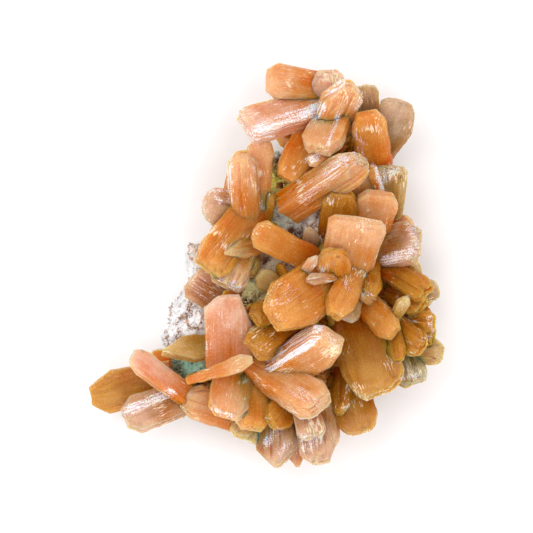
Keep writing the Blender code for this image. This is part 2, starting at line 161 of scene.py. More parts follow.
@dataclass(frozen=True)
class Crystal:
    """One stilbite crystal: a flattened prism from its root to its tip.

    roll turns the broad face about the length, clockwise seen from the root. shoulders are the shares of the
    length where the left and the right side start to close in, and end is the width left at the tip.
    waist is the width at the root. end and waist are shares of the full width, and side is the share of the
    thickness that is a flat side. A rounded crystal has one more corner between each shoulder and the tip.
    tint names the crystal's colours. relief is how far its laths and plates stand out: 0 is worn smooth.
    painted_side_highlight is how strongly its left side gets a painted white highlight, for its pearly
    lustre.
    """

    root: tuple
    tip: tuple
    width: float
    thickness: float
    roll: float = 0.0
    end: float = 0.5
    shoulders: tuple = (0.8, 0.8)
    waist: float = 0.75
    side: float = 0.5
    rounded: bool = False
    tint: str = "peach"
    relief: float = 0.5
    painted_side_highlight: float = 0.0


# The crystals of each spray, under the name of the solid that stands for it
SPRAYS = {
    "crown_left_spray": [
        Crystal((14.5, 44.4, 20), (0.1, 46.6, 28), 9.0, 5.4, roll=10, end=0.62, shoulders=(0.82, 0.86),
                relief=0.15),
        Crystal((16.0, 41.2, 20), (-5.5, 34.8, 33), 9.6, 6.0, roll=32, end=0.84, shoulders=(0.95, 0.95),
                side=0.85, tint="rose", relief=0.45),
    ],
    "crown_centre_spray": [
        Crystal((16.0, 36.0, 19), (15.3, 49.1, 25), 9.6, 5.0, end=0.42, shoulders=(0.7, 0.66), rounded=True,
                tint="rose"),
        Crystal((15.0, 33.5, 22), (20.3, 45.4, 36), 9.6, 6.0, roll=24, end=0.24, shoulders=(0.66, 0.78),
                side=0.7, relief=0.7),
        Crystal((18.8, 42.0, 22), (12.6, 28.4, 34), 10.0, 5.4, roll=24, end=0.62, shoulders=(0.8, 0.86),
                side=0.7, relief=0.7),
        Crystal((12.0, 34.6, 23), (4.4, 21.8, 28), 8.0, 3.8, roll=-8, shoulders=(0.7, 0.62), rounded=True,
                tint="orange", relief=0.15),
        Crystal((15.4, 27.6, 29), (10.2, 26.0, 33), 3.6, 2.6, roll=15, end=0.6),
    ],
    "crown_right_spray": [
        Crystal((25.6, 33.0, 15), (24.7, 45.4, 22), 6.6, 3.0, end=0.72, shoulders=(0.93, 0.88),
                tint="olive"),
        Crystal((28.6, 29.0, 16), (34.4, 41.0, 24), 10.4, 5.0, roll=8, end=0.42, shoulders=(0.85, 0.58),
                waist=0.4, rounded=True, tint="grey", relief=0.3),
        Crystal((27.2, 25.6, 20), (24.8, 38.3, 32), 8.8, 5.0, end=0.56, shoulders=(0.72, 0.8), waist=0.95,
                tint="orange", relief=0.15),
    ],
    "centre_sheaf": [
        Crystal((5.0, 14.6, 22), (24.0, 26.6, 35), 9.0, 7.0, roll=50, end=0.6, shoulders=(0.85, 0.85),
                side=0.85, relief=1.0),
    ],
    "left_prism_spray": [
        Crystal((-2.6, 14.6, 22), (-1.5, 32.0, 27), 7.0, 4.2, rounded=True, relief=0.2),
        Crystal((-5.0, 8.5, 21), (-6.2, 28.8, 32), 7.6, 5.4, roll=14, end=0.35, shoulders=(0.86, 0.86),
                waist=0.9, relief=0.8),
        Crystal((-5.0, 14.0, 21), (-16.0, 15.4, 25), 9.4, 5.0, end=0.42, shoulders=(0.72, 0.78),
                rounded=True, tint="tan"),
        Crystal((-3.0, 10.0, 20), (0.8, 19.0, 24), 5.8, 3.0, roll=-10, tint="amber"),
    ],
    "left_bundle": [
        Crystal((-3.5, 15.5, 21), (-15.0, -1.0, 31), 10.2, 6.0, roll=-12, end=0.7, shoulders=(0.9, 0.75),
                side=0.6, tint="orange", relief=0.7),
        Crystal((-3.5, 10.0, 19), (-10.4, -5.0, 29), 9.6, 5.4, end=0.78, shoulders=(0.9, 0.85), relief=1.0),
        Crystal((-4.6, 8.0, 20), (-4.6, -2.4, 25), 6.0, 4.6, roll=20, end=0.6, tint="orange"),
        Crystal((-1.0, 5.4, 24), (-10.4, 3.2, 32), 5.0, 2.8, end=0.15, shoulders=(0.5, 0.6)),
    ],
    "pink_tablet": [
        Crystal((-10.0, -9.0, 17), (-19.0, -3.0, 22), 9.8, 3.6, roll=-18, end=0.6, shoulders=(0.85, 0.75),
                tint="tan"),
    ],
    "centre_blade": [
        Crystal((12.5, 1.0, 22), (-3.2, 9.0, 33), 7.2, 3.2, end=0.55, shoulders=(0.9, 0.9), waist=0.95,
                tint="orange", relief=0.15),
    ],
    "small_leaf": [
        Crystal((4.0, -6.4, 20), (-2.2, -1.7, 26), 6.0, 2.2, end=0.4, shoulders=(0.7, 0.7), waist=0.6,
                rounded=True, tint="honey", relief=0.1),
    ],
    "pale_leaf": [
        Crystal((12.4, 3.6, 19), (10.2, 9.6, 26), 3.8, 1.8, end=0.4, shoulders=(0.7, 0.7), waist=0.8,
                tint="grey", relief=0.1),
    ],
    "right_upper_spray": [
        Crystal((25.5, 8.0, 19), (28.2, 18.4, 29), 10.2, 4.4, roll=8, end=0.62, shoulders=(0.85, 0.78),
                waist=0.9, relief=0.2),
        Crystal((28.6, 18.0, 22), (26.2, 24.9, 28), 3.8, 3.0, roll=75, side=0.8, tint="orange"),
        Crystal((25.2, 13.0, 19), (23.6, 23.6, 26), 6.4, 4.0, end=0.6),
    ],
    "yellow_tablet": [
        Crystal((31.0, 13.0, 15), (31.1, 25.4, 23), 8.8, 5.0, roll=-12, end=0.72, shoulders=(0.86, 0.9),
                waist=0.5, tint="honey", relief=0.8),
    ],
    "centre_block_spray": [
        Crystal((19.2, -2.6, 22), (22.8, 11.8, 37), 14.6, 6.4, roll=8, end=0.8, shoulders=(0.92, 0.9),
                waist=0.7, relief=0.25),
        Crystal((16.2, -5.4, 25), (17.0, 4.2, 36), 8.8, 5.0, end=0.45, shoulders=(0.7, 0.7), waist=0.6,
                rounded=True, tint="orange", relief=0.9),
        Crystal((17.0, -2.4, 31), (9.6, -3.4, 36), 3.0, 1.8, roll=15, end=0.3, tint="rose"),
    ],
    "fluted_crystal": [
        Crystal((17.0, 7.0, 19), (18.8, 18.6, 30), 9.2, 4.6, end=0.6, waist=0.9, tint="amber"),
    ],
    "right_fan": [
        Crystal((28.0, 4.2, 18), (38.2, 6.4, 26), 11.2, 5.4, roll=-28, end=0.6, shoulders=(0.64, 0.92),
                side=0.8, tint="tan", relief=0.9),
        Crystal((33.5, -2.6, 17), (38.4, 0.2, 21), 5.0, 3.2, tint="honey"),
        Crystal((37.0, -7.8, 17), (43.2, -5.0, 18), 5.8, 3.4, rounded=True, tint="olive"),
        Crystal((29.0, 0.2, 17), (40.4, -6.8, 26), 7.0, 5.0, roll=-14, end=0.66, shoulders=(0.85, 0.9),
                tint="amber", relief=0.9),
        Crystal((31.0, -6.5, 16), (39.4, -10.2, 24), 7.0, 5.0, roll=-10, end=0.6, tint="amber", relief=0.9),
    ],
    "recess_wall": [
        Crystal((26.4, 1.0, 20), (26.0, -7.2, 31), 4.8, 4.6, roll=18, waist=0.9, tint="amber", relief=0.9),
        Crystal((27.2, -9.4, 22), (23.6, -5.8, 29), 4.0, 3.0),
    ],
    "yellow_prism": [
        Crystal((30.0, -16.6, 22), (34.8, -7.4, 31), 3.0, 2.6, roll=35, shoulders=(0.88, 0.88), side=0.6,
                tint="honey"),
    ],
    "lower_right_spray": [
        Crystal((22.6, -13.0, 18), (28.2, -32.0, 28), 15.0, 6.4, roll=8, shoulders=(0.8, 0.66), waist=0.8,
                rounded=True, tint="tawny", relief=0.8),
        Crystal((23.5, -7.6, 20), (32.0, -16.8, 29), 7.4, 4.4, roll=14, end=0.55, tint="orange"),
        Crystal((31.5, -12.6, 17), (42.2, -14.2, 24), 5.6, 4.0, roll=10, end=0.6, rounded=True, tint="amber",
                relief=0.9),
        Crystal((32.0, -17.0, 16), (42.2, -17.6, 22), 6.0, 4.0, roll=-14, end=0.7, tint="amber", relief=0.9),
        Crystal((32.5, -19.2, 15), (44.4, -22.0, 21), 7.0, 4.4, end=0.45, rounded=True, tint="honey",
                relief=0.8),
        Crystal((31.0, -13.5, 19), (38.8, -21.0, 28), 7.4, 4.6, roll=8, end=0.55, tint="amber", relief=0.9),
        Crystal((33.4, -17.5, 16), (37.2, -29.6, 21), 8.4, 4.6, end=0.66, shoulders=(0.85, 0.9),
                tint="olive", relief=0.9),
        Crystal((36.2, -20.0, 15), (38.6, -29.2, 18), 4.6, 3.2, end=0.6, tint="grey"),
        Crystal((31.0, -12.0, 20), (32.8, -23.6, 28), 5.4, 3.4, roll=25, end=0.4, tint="amber"),
    ],
    "grey_crystal": [
        Crystal((22.6, -6.2, 22), (19.8, -13.4, 31), 5.4, 3.2, end=0.6, tint="grey"),
    ],
    "bottom_right_tablet": [
        Crystal((20.2, -27.5, 14), (23.3, -41.8, 21), 11.0, 5.2, shoulders=(0.74, 0.64), waist=0.9,
                rounded=True, tint="tawny"),
        Crystal((19.4, -25.0, 15), (18.0, -37.2, 22), 5.6, 3.6, roll=20, end=0.3, tint="amber"),
    ],
    "heart_spray": [
        Crystal((16.4, -2.0, 25), (1.6, -12.8, 40), 14.4, 7.4, roll=-8, shoulders=(0.64, 0.74), side=0.6,
                tint="orange", relief=0.6),
        Crystal((23.0, 1.4, 24), (16.6, -12.6, 36), 7.8, 5.4, roll=-10, end=0.45, shoulders=(0.8, 0.78),
                tint="orange", relief=0.6),
        Crystal((7.2, -4.2, 30), (12.6, 2.8, 37), 2.6, 2.0, end=0.2, tint="rose"),
    ],
    "under_heart_spray": [
        Crystal((6.5, -13.0, 21), (-4.0, -20.2, 31), 7.6, 4.6, roll=20, end=0.62, waist=0.9, tint="amber"),
        Crystal((4.0, -8.6, 21), (-3.2, -13.2, 30), 6.6, 4.4, roll=10, end=0.6, tint="amber"),
        Crystal((5.0, -17.6, 20), (-2.8, -22.2, 28), 5.4, 4.0, tint="orange"),
    ],
    "pearly_crystal": [
        Crystal((2.4, -26.6, 21), (16.8, -17.6, 36), 10.0, 8.0, roll=32, end=0.66, shoulders=(0.9, 0.74),
                side=0.8, relief=0.1, painted_side_highlight=1.0),
    ],
    "left_tablet_spray": [
        Crystal((-9.2, -26.0, 20), (-9.3, -7.2, 32), 12.8, 5.0, roll=10, end=0.42, shoulders=(0.86, 0.46),
                waist=0.85, tint="rose", relief=0.3),
    ],
    "thin_lath": [
        Crystal((-19.6, -28.6, 27), (-3.0, -22.9, 34), 4.6, 2.8, roll=-12, end=0.4, waist=0.4,
                shoulders=(0.85, 0.8)),
    ],
    "olive_blade": [
        Crystal((-12.0, -19.6, 18), (-26.2, -21.6, 24), 7.0, 4.4, roll=28, end=0.15, shoulders=(0.5, 0.6),
                tint="honey"),
    ],
    "spur_spray": [
        Crystal((-23.5, -28.2, 15), (-44.5, -32.6, 13), 10.8, 5.0, roll=-14, end=0.42,
                shoulders=(0.84, 0.72), tint="tawny"),
        Crystal((-18.0, -31.8, 16), (-35.8, -38.2, 21), 9.4, 5.2, roll=22, shoulders=(0.86, 0.84), side=0.7,
                tint="tan", relief=0.9),
        Crystal((-21.2, -34.6, 15), (-21.7, -38.3, 15), 2.4, 2.4, end=0.8, shoulders=(0.9, 0.9),
                tint="amber"),
    ],
    "crossing_blade": [
        Crystal((-19.6, -32.6, 21), (-33.8, -22.0, 27), 6.4, 3.8, roll=26, end=0.55, side=0.7, rounded=True,
                tint="rose", relief=0.6),
    ],
    "lower_left_tablets": [
        Crystal((-8.0, -24.0, 19), (-9.8, -37.4, 31), 10.0, 4.4, roll=-8, end=0.6, shoulders=(0.84, 0.84),
                waist=0.9),
        Crystal((-4.6, -24.0, 18), (-3.4, -40.6, 27), 9.0, 5.2, roll=-24, end=0.6, shoulders=(0.84, 0.84),
                side=0.7, tint="orange"),
    ],
    "lower_left_spray": [
        Crystal((-4.0, -38.8, 15), (-21.0, -32.8, 22), 9.0, 5.0, roll=-10, end=0.55, shoulders=(0.8, 0.85)),
        Crystal((-4.4, -35.0, 16), (-6.4, -43.0, 21), 6.4, 4.0, tint="honey"),
    ],
    "lower_sheaf": [
        Crystal((-2.6, -24.8, 20), (13.6, -34.6, 34), 10.6, 6.8, roll=-30, end=0.7, shoulders=(0.85, 0.9),
                waist=0.6, side=0.75, relief=0.9),
    ],
    "foot_spray": [
        Crystal((-0.2, -36.0, 16), (-3.2, -44.4, 20), 7.4, 4.2, rounded=True, tint="honey"),
        Crystal((2.4, -36.0, 17), (2.6, -50.4, 22), 10.6, 5.4, roll=10, end=0.15, shoulders=(0.72, 0.68),
                waist=0.9, relief=0.7, tint="tan"),
        Crystal((6.2, -37.0, 16), (7.9, -50.7, 19), 5.6, 3.6, end=0.15, shoulders=(0.7, 0.7), tint="tan"),
        Crystal((11.4, -32.0, 18), (13.6, -49.4, 25), 10.4, 5.6, roll=8, end=0.42, shoulders=(0.66, 0.82),
                waist=0.95, tint="tan", relief=0.9),
        Crystal((9.0, -33.0, 23), (11.6, -42.8, 30), 7.4, 4.0, end=0.6, rounded=True, tint="tan",
                relief=0.8),
        Crystal((8.8, -31.0, 19), (1.0, -39.4, 27), 8.0, 4.2, roll=-14, tint="amber"),
    ],
    "crown_flank_spray": [
        Crystal((20.0, 36.0, 8), (13.0, 44.6, 16), 8.0, 4.4, roll=12),
        Crystal((20.0, 36.0, 8), (20.4, 45.6, 17), 8.4, 4.4, end=0.45, rounded=True),
        Crystal((20.6, 35.5, 8), (28.0, 41.0, 15), 7.4, 4.2, roll=-12, tint="orange"),
    ],
    "crown_underside_crystal": [
        Crystal((10.0, 32.0, 10), (1.6, 37.6, 20), 6.6, 4.2, roll=10),
    ],
    "right_flank_spray": [
        Crystal((27.5, 11.6, 7), (32.0, 19.4, 15), 6.4, 4.2, roll=-10, tint="orange"),
        Crystal((27.5, 11.0, 7), (36.6, 9.0, 15), 7.4, 4.2, roll=14, end=0.45, rounded=True),
        Crystal((27.5, 9.5, 7), (36.4, 3.6, 14), 7.2, 4.0, tint="orange"),
    ],
    "fan_flank_spray": [
        Crystal((34.0, -8.5, 6), (41.0, -6.4, 13), 7.2, 4.0, roll=12, rounded=True, tint="honey"),
        Crystal((33.5, -9.5, 6), (40.4, -15.0, 14), 7.6, 4.2, roll=-10, tint="amber"),
    ],
    "lower_right_flank_spray": [
        Crystal((33.0, -19.0, 6), (42.4, -21.0, 13), 8.0, 4.4, roll=-14, end=0.45, rounded=True,
                tint="honey"),
        Crystal((32.5, -19.5, 6), (38.4, -27.0, 13), 7.4, 4.2, roll=8, tint="amber"),
        Crystal((31.5, -20.0, 6), (30.4, -30.4, 14), 7.6, 4.2, tint="amber"),
    ],
    "foot_flank_spray": [
        Crystal((16.0, -34.5, 6), (23.4, -39.6, 12), 7.4, 4.2, roll=-12, tint="honey"),
        Crystal((15.0, -35.0, 6), (14.4, -45.8, 14), 7.6, 4.4, end=0.45, rounded=True),
        Crystal((14.0, -35.0, 6), (7.6, -46.0, 13), 7.8, 4.4, roll=10),
    ],
    "lower_left_flank_spray": [
        Crystal((-0.5, -35.0, 6), (1.6, -45.6, 13), 7.4, 4.2, roll=-8),
        Crystal((-1.5, -35.0, 6), (-6.4, -41.4, 13), 7.2, 4.2, roll=10, rounded=True, tint="orange"),
    ],
    "left_flank_spray": [
        Crystal((-10.0, 13.0, 7), (-14.6, 16.2, 15), 7.0, 4.0, roll=12, rounded=True),
        Crystal((-9.0, 14.5, 7), (-6.4, 24.6, 16), 6.6, 4.0, end=0.45),
    ],
}


# The floor reaches this far from the specimen each way
FLOOR_REACH_MM = 900

# The picture is this wide at the height that the camera's distance is measured from
PICTURE_MM = 133.25
CAMERA_FOCUS_MM = 22

# The softboxes stand this far from the point that they face, above the floor's middle
LIGHT_DISTANCE = 0.8
LIGHT_AIM = Vector((0, 0, 0.02))

# Name, direction around from +X and up from the floor in degrees, size in metres, power in watts, colour
SOFTBOXES = [
    ("upper_left_softbox", 135, 70, 0.3, 1.8, "#FFFCFA"),
    ("lower_right_softbox", 300, 72, 0.3, 1.2, "#FFFCFA"),
    ("right_softbox", 20, 70, 0.3, 0.9, "#FFFFFF"),
    ("left_softbox", 185, 38, 0.3, 1.3, "#FFFCFA"),
    ("lower_softbox", 262, 42, 0.3, 0.6, "#FFF6FF"),
]

# Painted white and lilac highlights that stand for the gleam of pearly cleavage faces: start and end of each
# from above, half width, strength
PAINTED_HIGHLIGHT_PLACES = [
    ((-5.0, 32.0), (0.5, 33.5), 2.0, 1.0),
    ((-1.0, 34.0), (13.0, 39.0), 2.2, 0.8),
    ((9.0, 38.0), (13.5, 40.0), 1.4, 1.0),
    ((16.0, 43.0), (18.5, 45.5), 1.3, 1.0),
    ((18.0, 38.0), (14.5, 28.0), 0.7, 0.7),
    ((22.5, 39.5), (24.0, 43.0), 1.0, 0.7),
    ((21.5, 33.0), (24.5, 30.5), 0.8, 0.6),
    ((10.0, 18.0), (23.0, 28.5), 2.0, 0.55),
    ((15.0, 23.0), (19.0, 26.5), 1.5, 0.8),
    ((10.8, 26.4), (12.6, 27.4), 1.2, 0.8),
    ((-15.5, 18.5), (-11.5, 19.0), 0.7, 0.8),
    ((-15.8, 16.5), (-14.8, 11.5), 0.7, 0.7),
    ((-12.5, 17.5), (-11.5, 16.0), 0.7, 0.8),
    ((-9.2, 26.5), (-9.0, 16.0), 0.8, 0.9),
    ((-3.4, 26.5), (-1.8, 15.0), 0.3, 0.9),
    ((-11.5, -3.5), (-7.0, -4.5), 0.9, 0.7),
    ((-9.0, -5.4), (-7.0, -5.4), 0.6, 1.0),
    ((29.0, 22.0), (32.0, 24.5), 1.8, 0.8),
    ((26.5, 25.5), (29.0, 19.5), 0.7, 0.8),
    ((30.0, 1.5), (36.0, 3.5), 1.6, 0.9),
    ((35.0, 11.0), (38.0, 4.5), 1.2, 0.65),
    ((1.0, -9.5), (7.0, -6.5), 1.6, 0.5),
    ((13.5, -1.5), (16.0, 1.0), 0.9, 0.6),
    ((-35.0, -36.0), (-24.0, -31.5), 1.4, 0.85),
    ((-10.0, -37.0), (-8.0, -39.0), 1.1, 0.6),
    ((4.0, -46.0), (8.5, -42.5), 1.5, 0.7),
    ((9.0, -46.0), (13.0, -43.0), 1.5, 0.7),
    ((0.0, -44.0), (3.0, -41.0), 1.2, 0.7),
    ((-13.0, -9.0), (-11.5, -12.0), 0.9, 0.5),
    ((-14.5, -19.0), (-15.0, -22.0), 0.8, 0.6),
    ((34.0, -28.0), (38.0, -27.0), 0.8, 0.7),
    ((-18.0, -2.0), (-14.5, -8.5), 2.6, 0.45),
    ((40.5, -12.5), (41.5, -16.0), 0.9, 0.7),
    ((38.0, -18.5), (41.0, -17.5), 0.7, 0.6),
    ((19.5, -3.5), (20.5, -6.0), 0.8, 0.55),
    ((23.5, -6.5), (26.0, -7.0), 0.7, 0.6),
    ((7.5, -31.0), (12.5, -34.0), 1.6, 0.5),
    ((-13.5, -35.5), (-9.0, -37.0), 0.7, 0.8),
    ((5.5, -20.0), (14.0, -28.0), 1.6, 0.3),
]

# The rock's coat where it shows from the front: colour, middle from above, radius, and the height where it
# starts. The dark brown zones are painted shade deep in hollows, and the deep orange ones painted orange
# glow of light that comes through the crystals. Away from every zone the felt's own colour shows: it has
# this even weight against theirs
FELT_SHARE = 0.0004
COAT_AND_PAINTED_LIGHT_ZONES = [
    ("#FFFFFF", (-22, -4), 11, -1),
    ("#FFFFFF", (-23, -15), 9, -1),
    ("#FFF07A", (2, 22), 4, 7),
    # Painted shade: dark brown deep in a hollow
    ("#6E1E0C", (0.5, 26.5), 2.6, 7),
    ("#F4FFEA", (3.5, 13), 4, 7),
    ("#FFF4EA", (11, 12), 4, 7),
    # Painted shade: dark brown deep in a hollow
    ("#54301E", (8, 7), 3, 7),
    ("#E8D4B8", (2.5, -1), 3.5, 7),
    ("#FFF4B4", (-4, -4.5), 2.2, 7),
    ("#D0D096", (-1.5, -8), 3, 7),
    ("#B8F4D8", (-19.2, -24.8), 2.0, 5),
    ("#66602E", (-22.5, -26.5), 2.4, 5),
    # Painted shade: dark brown deep in a hollow
    ("#6A2410", (-2.5, -27), 3.5, 7),
    # Painted glow: deep orange light through the crystals, in the recess
    ("#D86A10", (31, -5), 6, 7),
    # Painted shade: dark brown deep in a hollow
    ("#7A3010", (8, 33.5), 3, 7),
    # Painted glow: deep orange light through the crystals, on the rock between them, in these five zones
    ("#F09A1C", (24, 10), 16, 7),
    ("#F09A1C", (14, -24), 20, 7),
    ("#F09A1C", (-10, -34), 12, 7),
    ("#F09A1C", (-10, 12), 8, 7),
    ("#F09A1C", (16, 36), 10, 7),
]

# A zone reaches its full weight this far above its start, and the start wavers by up to a few mm
ZONE_RISE_MM = 4
ZONE_WAVER_MM = 3
ZONE_WAVER_SIZE_MM = 7
ZONE_WAVER_SEED = 21

# Colour of the thin rusty lines in the coat, their spacing and how thin they are. They start above the floor
LINE_STAIN = "#B88C6C"
LINE_SIZE_MM = 2.6
LINE_SEED = 40
LINE_SCALE = (1, 0.6, 1)
LINE_SHARE = 0.07
LINE_START_MM = 2

# Size, height and seed of the lumps of the rock's surface, and how far it is drawn in to make room for
# them and for a share of the fibres' length. All of it sets in above the rim of the cut
ROCK_LUMPS = ((3.2, 0.7, 5), (1.3, 0.5, 6), (0.8, 0.3, 8))
ROCK_DRAWN_IN_MM = 1.5
FIBRE_ROOM_SHARE = 0.3
CUT_RIM_MM = 0.3
CUT_FADE_MM = 1.5

# Nothing grows on the rock below this height, and covered places have this small chance. Fibres and grains
# stay above LOWEST_TIP_MM
LOWEST_GROWTH_MM = 0.8
COVERED_CHANCE = 0.04
LOWEST_TIP_MM = 0.1

# Seeds of the places of the small crystals, the grains and the fibres
SMALL_PLACES_SEED = 77
GRAIN_PLACES_SEED = 31
FIBRE_PLACES_SEED = 12

# Grains and fibres keep an even tone where the coat is bright, and are finer by up to this share in the
# white crust
EVEN_TONE = 0.7
CRUST_FINENESS = 0.55

# Grains: how far they lean, smallest and largest as shares of the usual size, and the width, the thickness
# and the foot of one as shares of its length
GRAIN_SPREAD = 0.7
GRAIN_SIZES = (0.5, 1.25)
GRAIN_SHAPE = (0.36, 0.24, 0.5)

# Fibres: how far they lean, how far they stand from their tuft's middle, how deep they start, and the
# least and the most of their length and radius as shares of the given ones
FIBRE_SPREAD = 0.55
TUFT_RADIUS_MM = 0.12
FIBRE_DEPTH_MM = 0.25
FIBRE_LENGTHS = (0.35, 1.0)
FIBRE_RADII = (0.6, 1.3)
THIRDS_OF_TURN = (0, math.tau / 3, math.tau * 2 / 3)

# A listed line has its full strength out to 0.6 of its half width, and none beyond this many half widths
LINE_REACH = 1.6

# Where the coat stays free of small stilbite crystals, above this height: start, end, half width, strength
FELT_HEIGHT_MM = 6
FELT_PLACES = [
    ((-22, 4), (-25, -18), 9, 1.0),
    ((1.5, 26), (4, 13), 5, 1.0),
    ((4, 12), (12, 11), 5, 1.0),
    ((6, 9), (10, 6), 3, 1.0),
    ((1, 1), (5, -2), 3.5, 1.0),
    ((-3, -3), (-1, -9), 2.5, 1.0),
    ((-22, -26), (-17, -24), 3, 1.0),
    ((3.0, 30.0), (3.5, 31.0), 2.5, 1.0),
]

# Small crystals stand on the rock above a height, where large crystals stand around them in this many of
# the eight directions, and where the felt's places are no nearer than this
SMALL_CRYSTAL_HEIGHT_MM = 5
SHELTERED_SIDES = 6
MOST_FELT = 0.5

# Small crystals: length, width as a share of it, tints, how far they lean, how deep they start, their most
# roll, how many are rounded, and the width and the thickness of their few laths and plates
SMALL_LENGTHS_MM = (4, 8)
SMALL_WIDTHS = (0.4, 0.65)
SMALL_TINTS = ("amber", "orange", "tawny", "honey")
SMALL_SPREAD = 0.45
SMALL_ROOT_MM = 2
SMALL_MOST_ROLL = 60
SMALL_ROUNDED = 0.4
SMALL_SIDE = 0.6
SMALL_LATH_MM = 2.2
SMALL_PLATE_MM = 2.0

# Level directions, to find out whether large crystals stand around a place
AROUND = [Vector((math.cos(turn * math.pi / 4), math.sin(turn * math.pi / 4), 0)) for turn in range(8)]

# Directions that the rock is looked at from, to find where it shows: from this far above it, where it
# faces a direction by more than this
LOOK_START_MM = 0.5
LEAST_FACING = 0.1
LOOK_WAYS = [Vector(way).normalized() for way in (
    (0, 0, 1), (0.5, 0, 1), (-0.5, 0, 1), (0, 0.5, 1), (0, -0.5, 1), (1, 0, 0.3), (-1, 0, 0.3), (0, 1, 0.3),
    (0, -1, 0.3))]


# Primes that mix a lattice point with the seed, and one that stirs the result
LATTICE_PRIMES = np.array([73856093, 19349663, 83492791])
SEED_PRIME = 2654435761
STIR_PRIME = 1274126177


def lumps_at(points, size, seed):
    """Smooth random heights from -1 to 1 at some points, as lumps of about that size."""
    cells = points / size
    low = np.floor(cells).astype(np.int64)
    part = cells - low
    part = part * part * (3 - 2 * part)
    heights = np.zeros(len(points))
    for corner in itertools.product((0, 1), repeat=3):
        mixed = np.bitwise_xor.reduce((low + corner) * LATTICE_PRIMES, axis=1) ^ seed * SEED_PRIME
        mixed = (mixed ^ mixed >> 13) * STIR_PRIME
        height = (mixed ^ mixed >> 16) & 0xFFFF
        heights += (height / 0x8000 - 1) * np.prod(np.where(corner, part, 1 - part), axis=1)
    return heights


def frame_of(crystal):
    """A crystal's length, and its axes as a matrix: across its width, along it, through its thickness."""
    root = Vector(crystal.root)
    along = Vector(crystal.tip) - root
    length = along.length
    along.normalize()
    right = along.cross(Vector((0, 0, 1))).normalized()
    upright = Matrix((right, along, right.cross(along))).transposed().to_4x4()
    turn = Matrix.Rotation(math.radians(crystal.roll), 4, "Y")
    return length, Matrix.Translation(root) @ upright @ turn


def end_line(crystal, length):
    """Where the crystal's end lies along its length, as corners from the left shoulder to the right one."""
    half = crystal.width / 2
    left, right = (share * length for share in crystal.shoulders)
    end = crystal.end * half
    line = [(-half, left), (-end, length), (end, length), (half, right)]
    if crystal.rounded:
        turn = ROUND_FULLNESS * half + (1 - ROUND_FULLNESS) * end
        line.insert(3, (turn, (right + 2 * length) / 3))
        line.insert(1, (-turn, (left + 2 * length) / 3))
    return np.array(line).T


def lath_columns(crystal, look, chance):
    """Places across the broad face from -1 to 1, and the lath that each one lies on."""
    half = crystal.width / 2
    widths = []
    while sum(widths) < crystal.width:
        widths.append(look.lath_width * chance.uniform(*LATH_WIDTHS))
    edges = np.cumsum([0, *widths]) / sum(widths) * 2 - 1
    gap = LATH_EDGE_MM / half
    places, laths = [], []
    for lath, (low, high) in enumerate(zip(edges, edges[1:])):
        inner = (high - low) * LATH_INNER
        places += [low + gap, low + inner, high - inner, high - gap]
        laths += [lath] * 4
    worn = 1 - ROUND_OVER_MM / half
    places[:2] = -1, -worn
    places[-2:] = worn, 1
    return np.sort(places), np.array(laths)


def plate_levels(crystal, look, chance):
    """Heights through the thickness where one plate ends and the next begins, from the top down."""
    half_depth = crystal.thickness / 2
    flat = half_depth * crystal.side
    levels = [half_depth]
    for high, low in ((half_depth, flat), (flat, -flat), (-flat, -half_depth)):
        count = max(1, round((high - low) / look.plate_thickness))
        steps = [chance.uniform(*PLATE_SHARES) for _ in range(count)]
        levels += list(high - np.cumsum(steps) / sum(steps) * (high - low))
    return levels


def lath_heights(count, most, chance):
    """How much each lath falls short: half of them not at all, and the others by up to that much."""
    return np.array([most * max(0, chance.uniform(-1, 1)) for _ in range(count)])


def lath_breaks(count, chance):
    """The share of the length where each outermost lath breaks off. Neighbours often break together."""
    breaks, reach = [], FIRST_BREAK
    for _ in range(count):
        if chance.random() < BREAK_CHANGE:
            reach = chance.uniform(*BREAK_PLACES)
        breaks.append(reach + chance.uniform(-RAGGED, RAGGED))
    return np.array(breaks)


def wave_along(places, size, seed):
    """How far an edge stands in at some places along it, from 0 to 1."""
    points = np.stack([places, np.full(len(places), seed * WAVE_STEP_MM), np.zeros(len(places))], axis=1)
    return 0.5 + 0.5 * lumps_at(points, size, seed)


def steepness(least, most, chance):
    """A random slope between two angles in degrees."""
    return math.tan(math.radians(chance.uniform(least, most)))


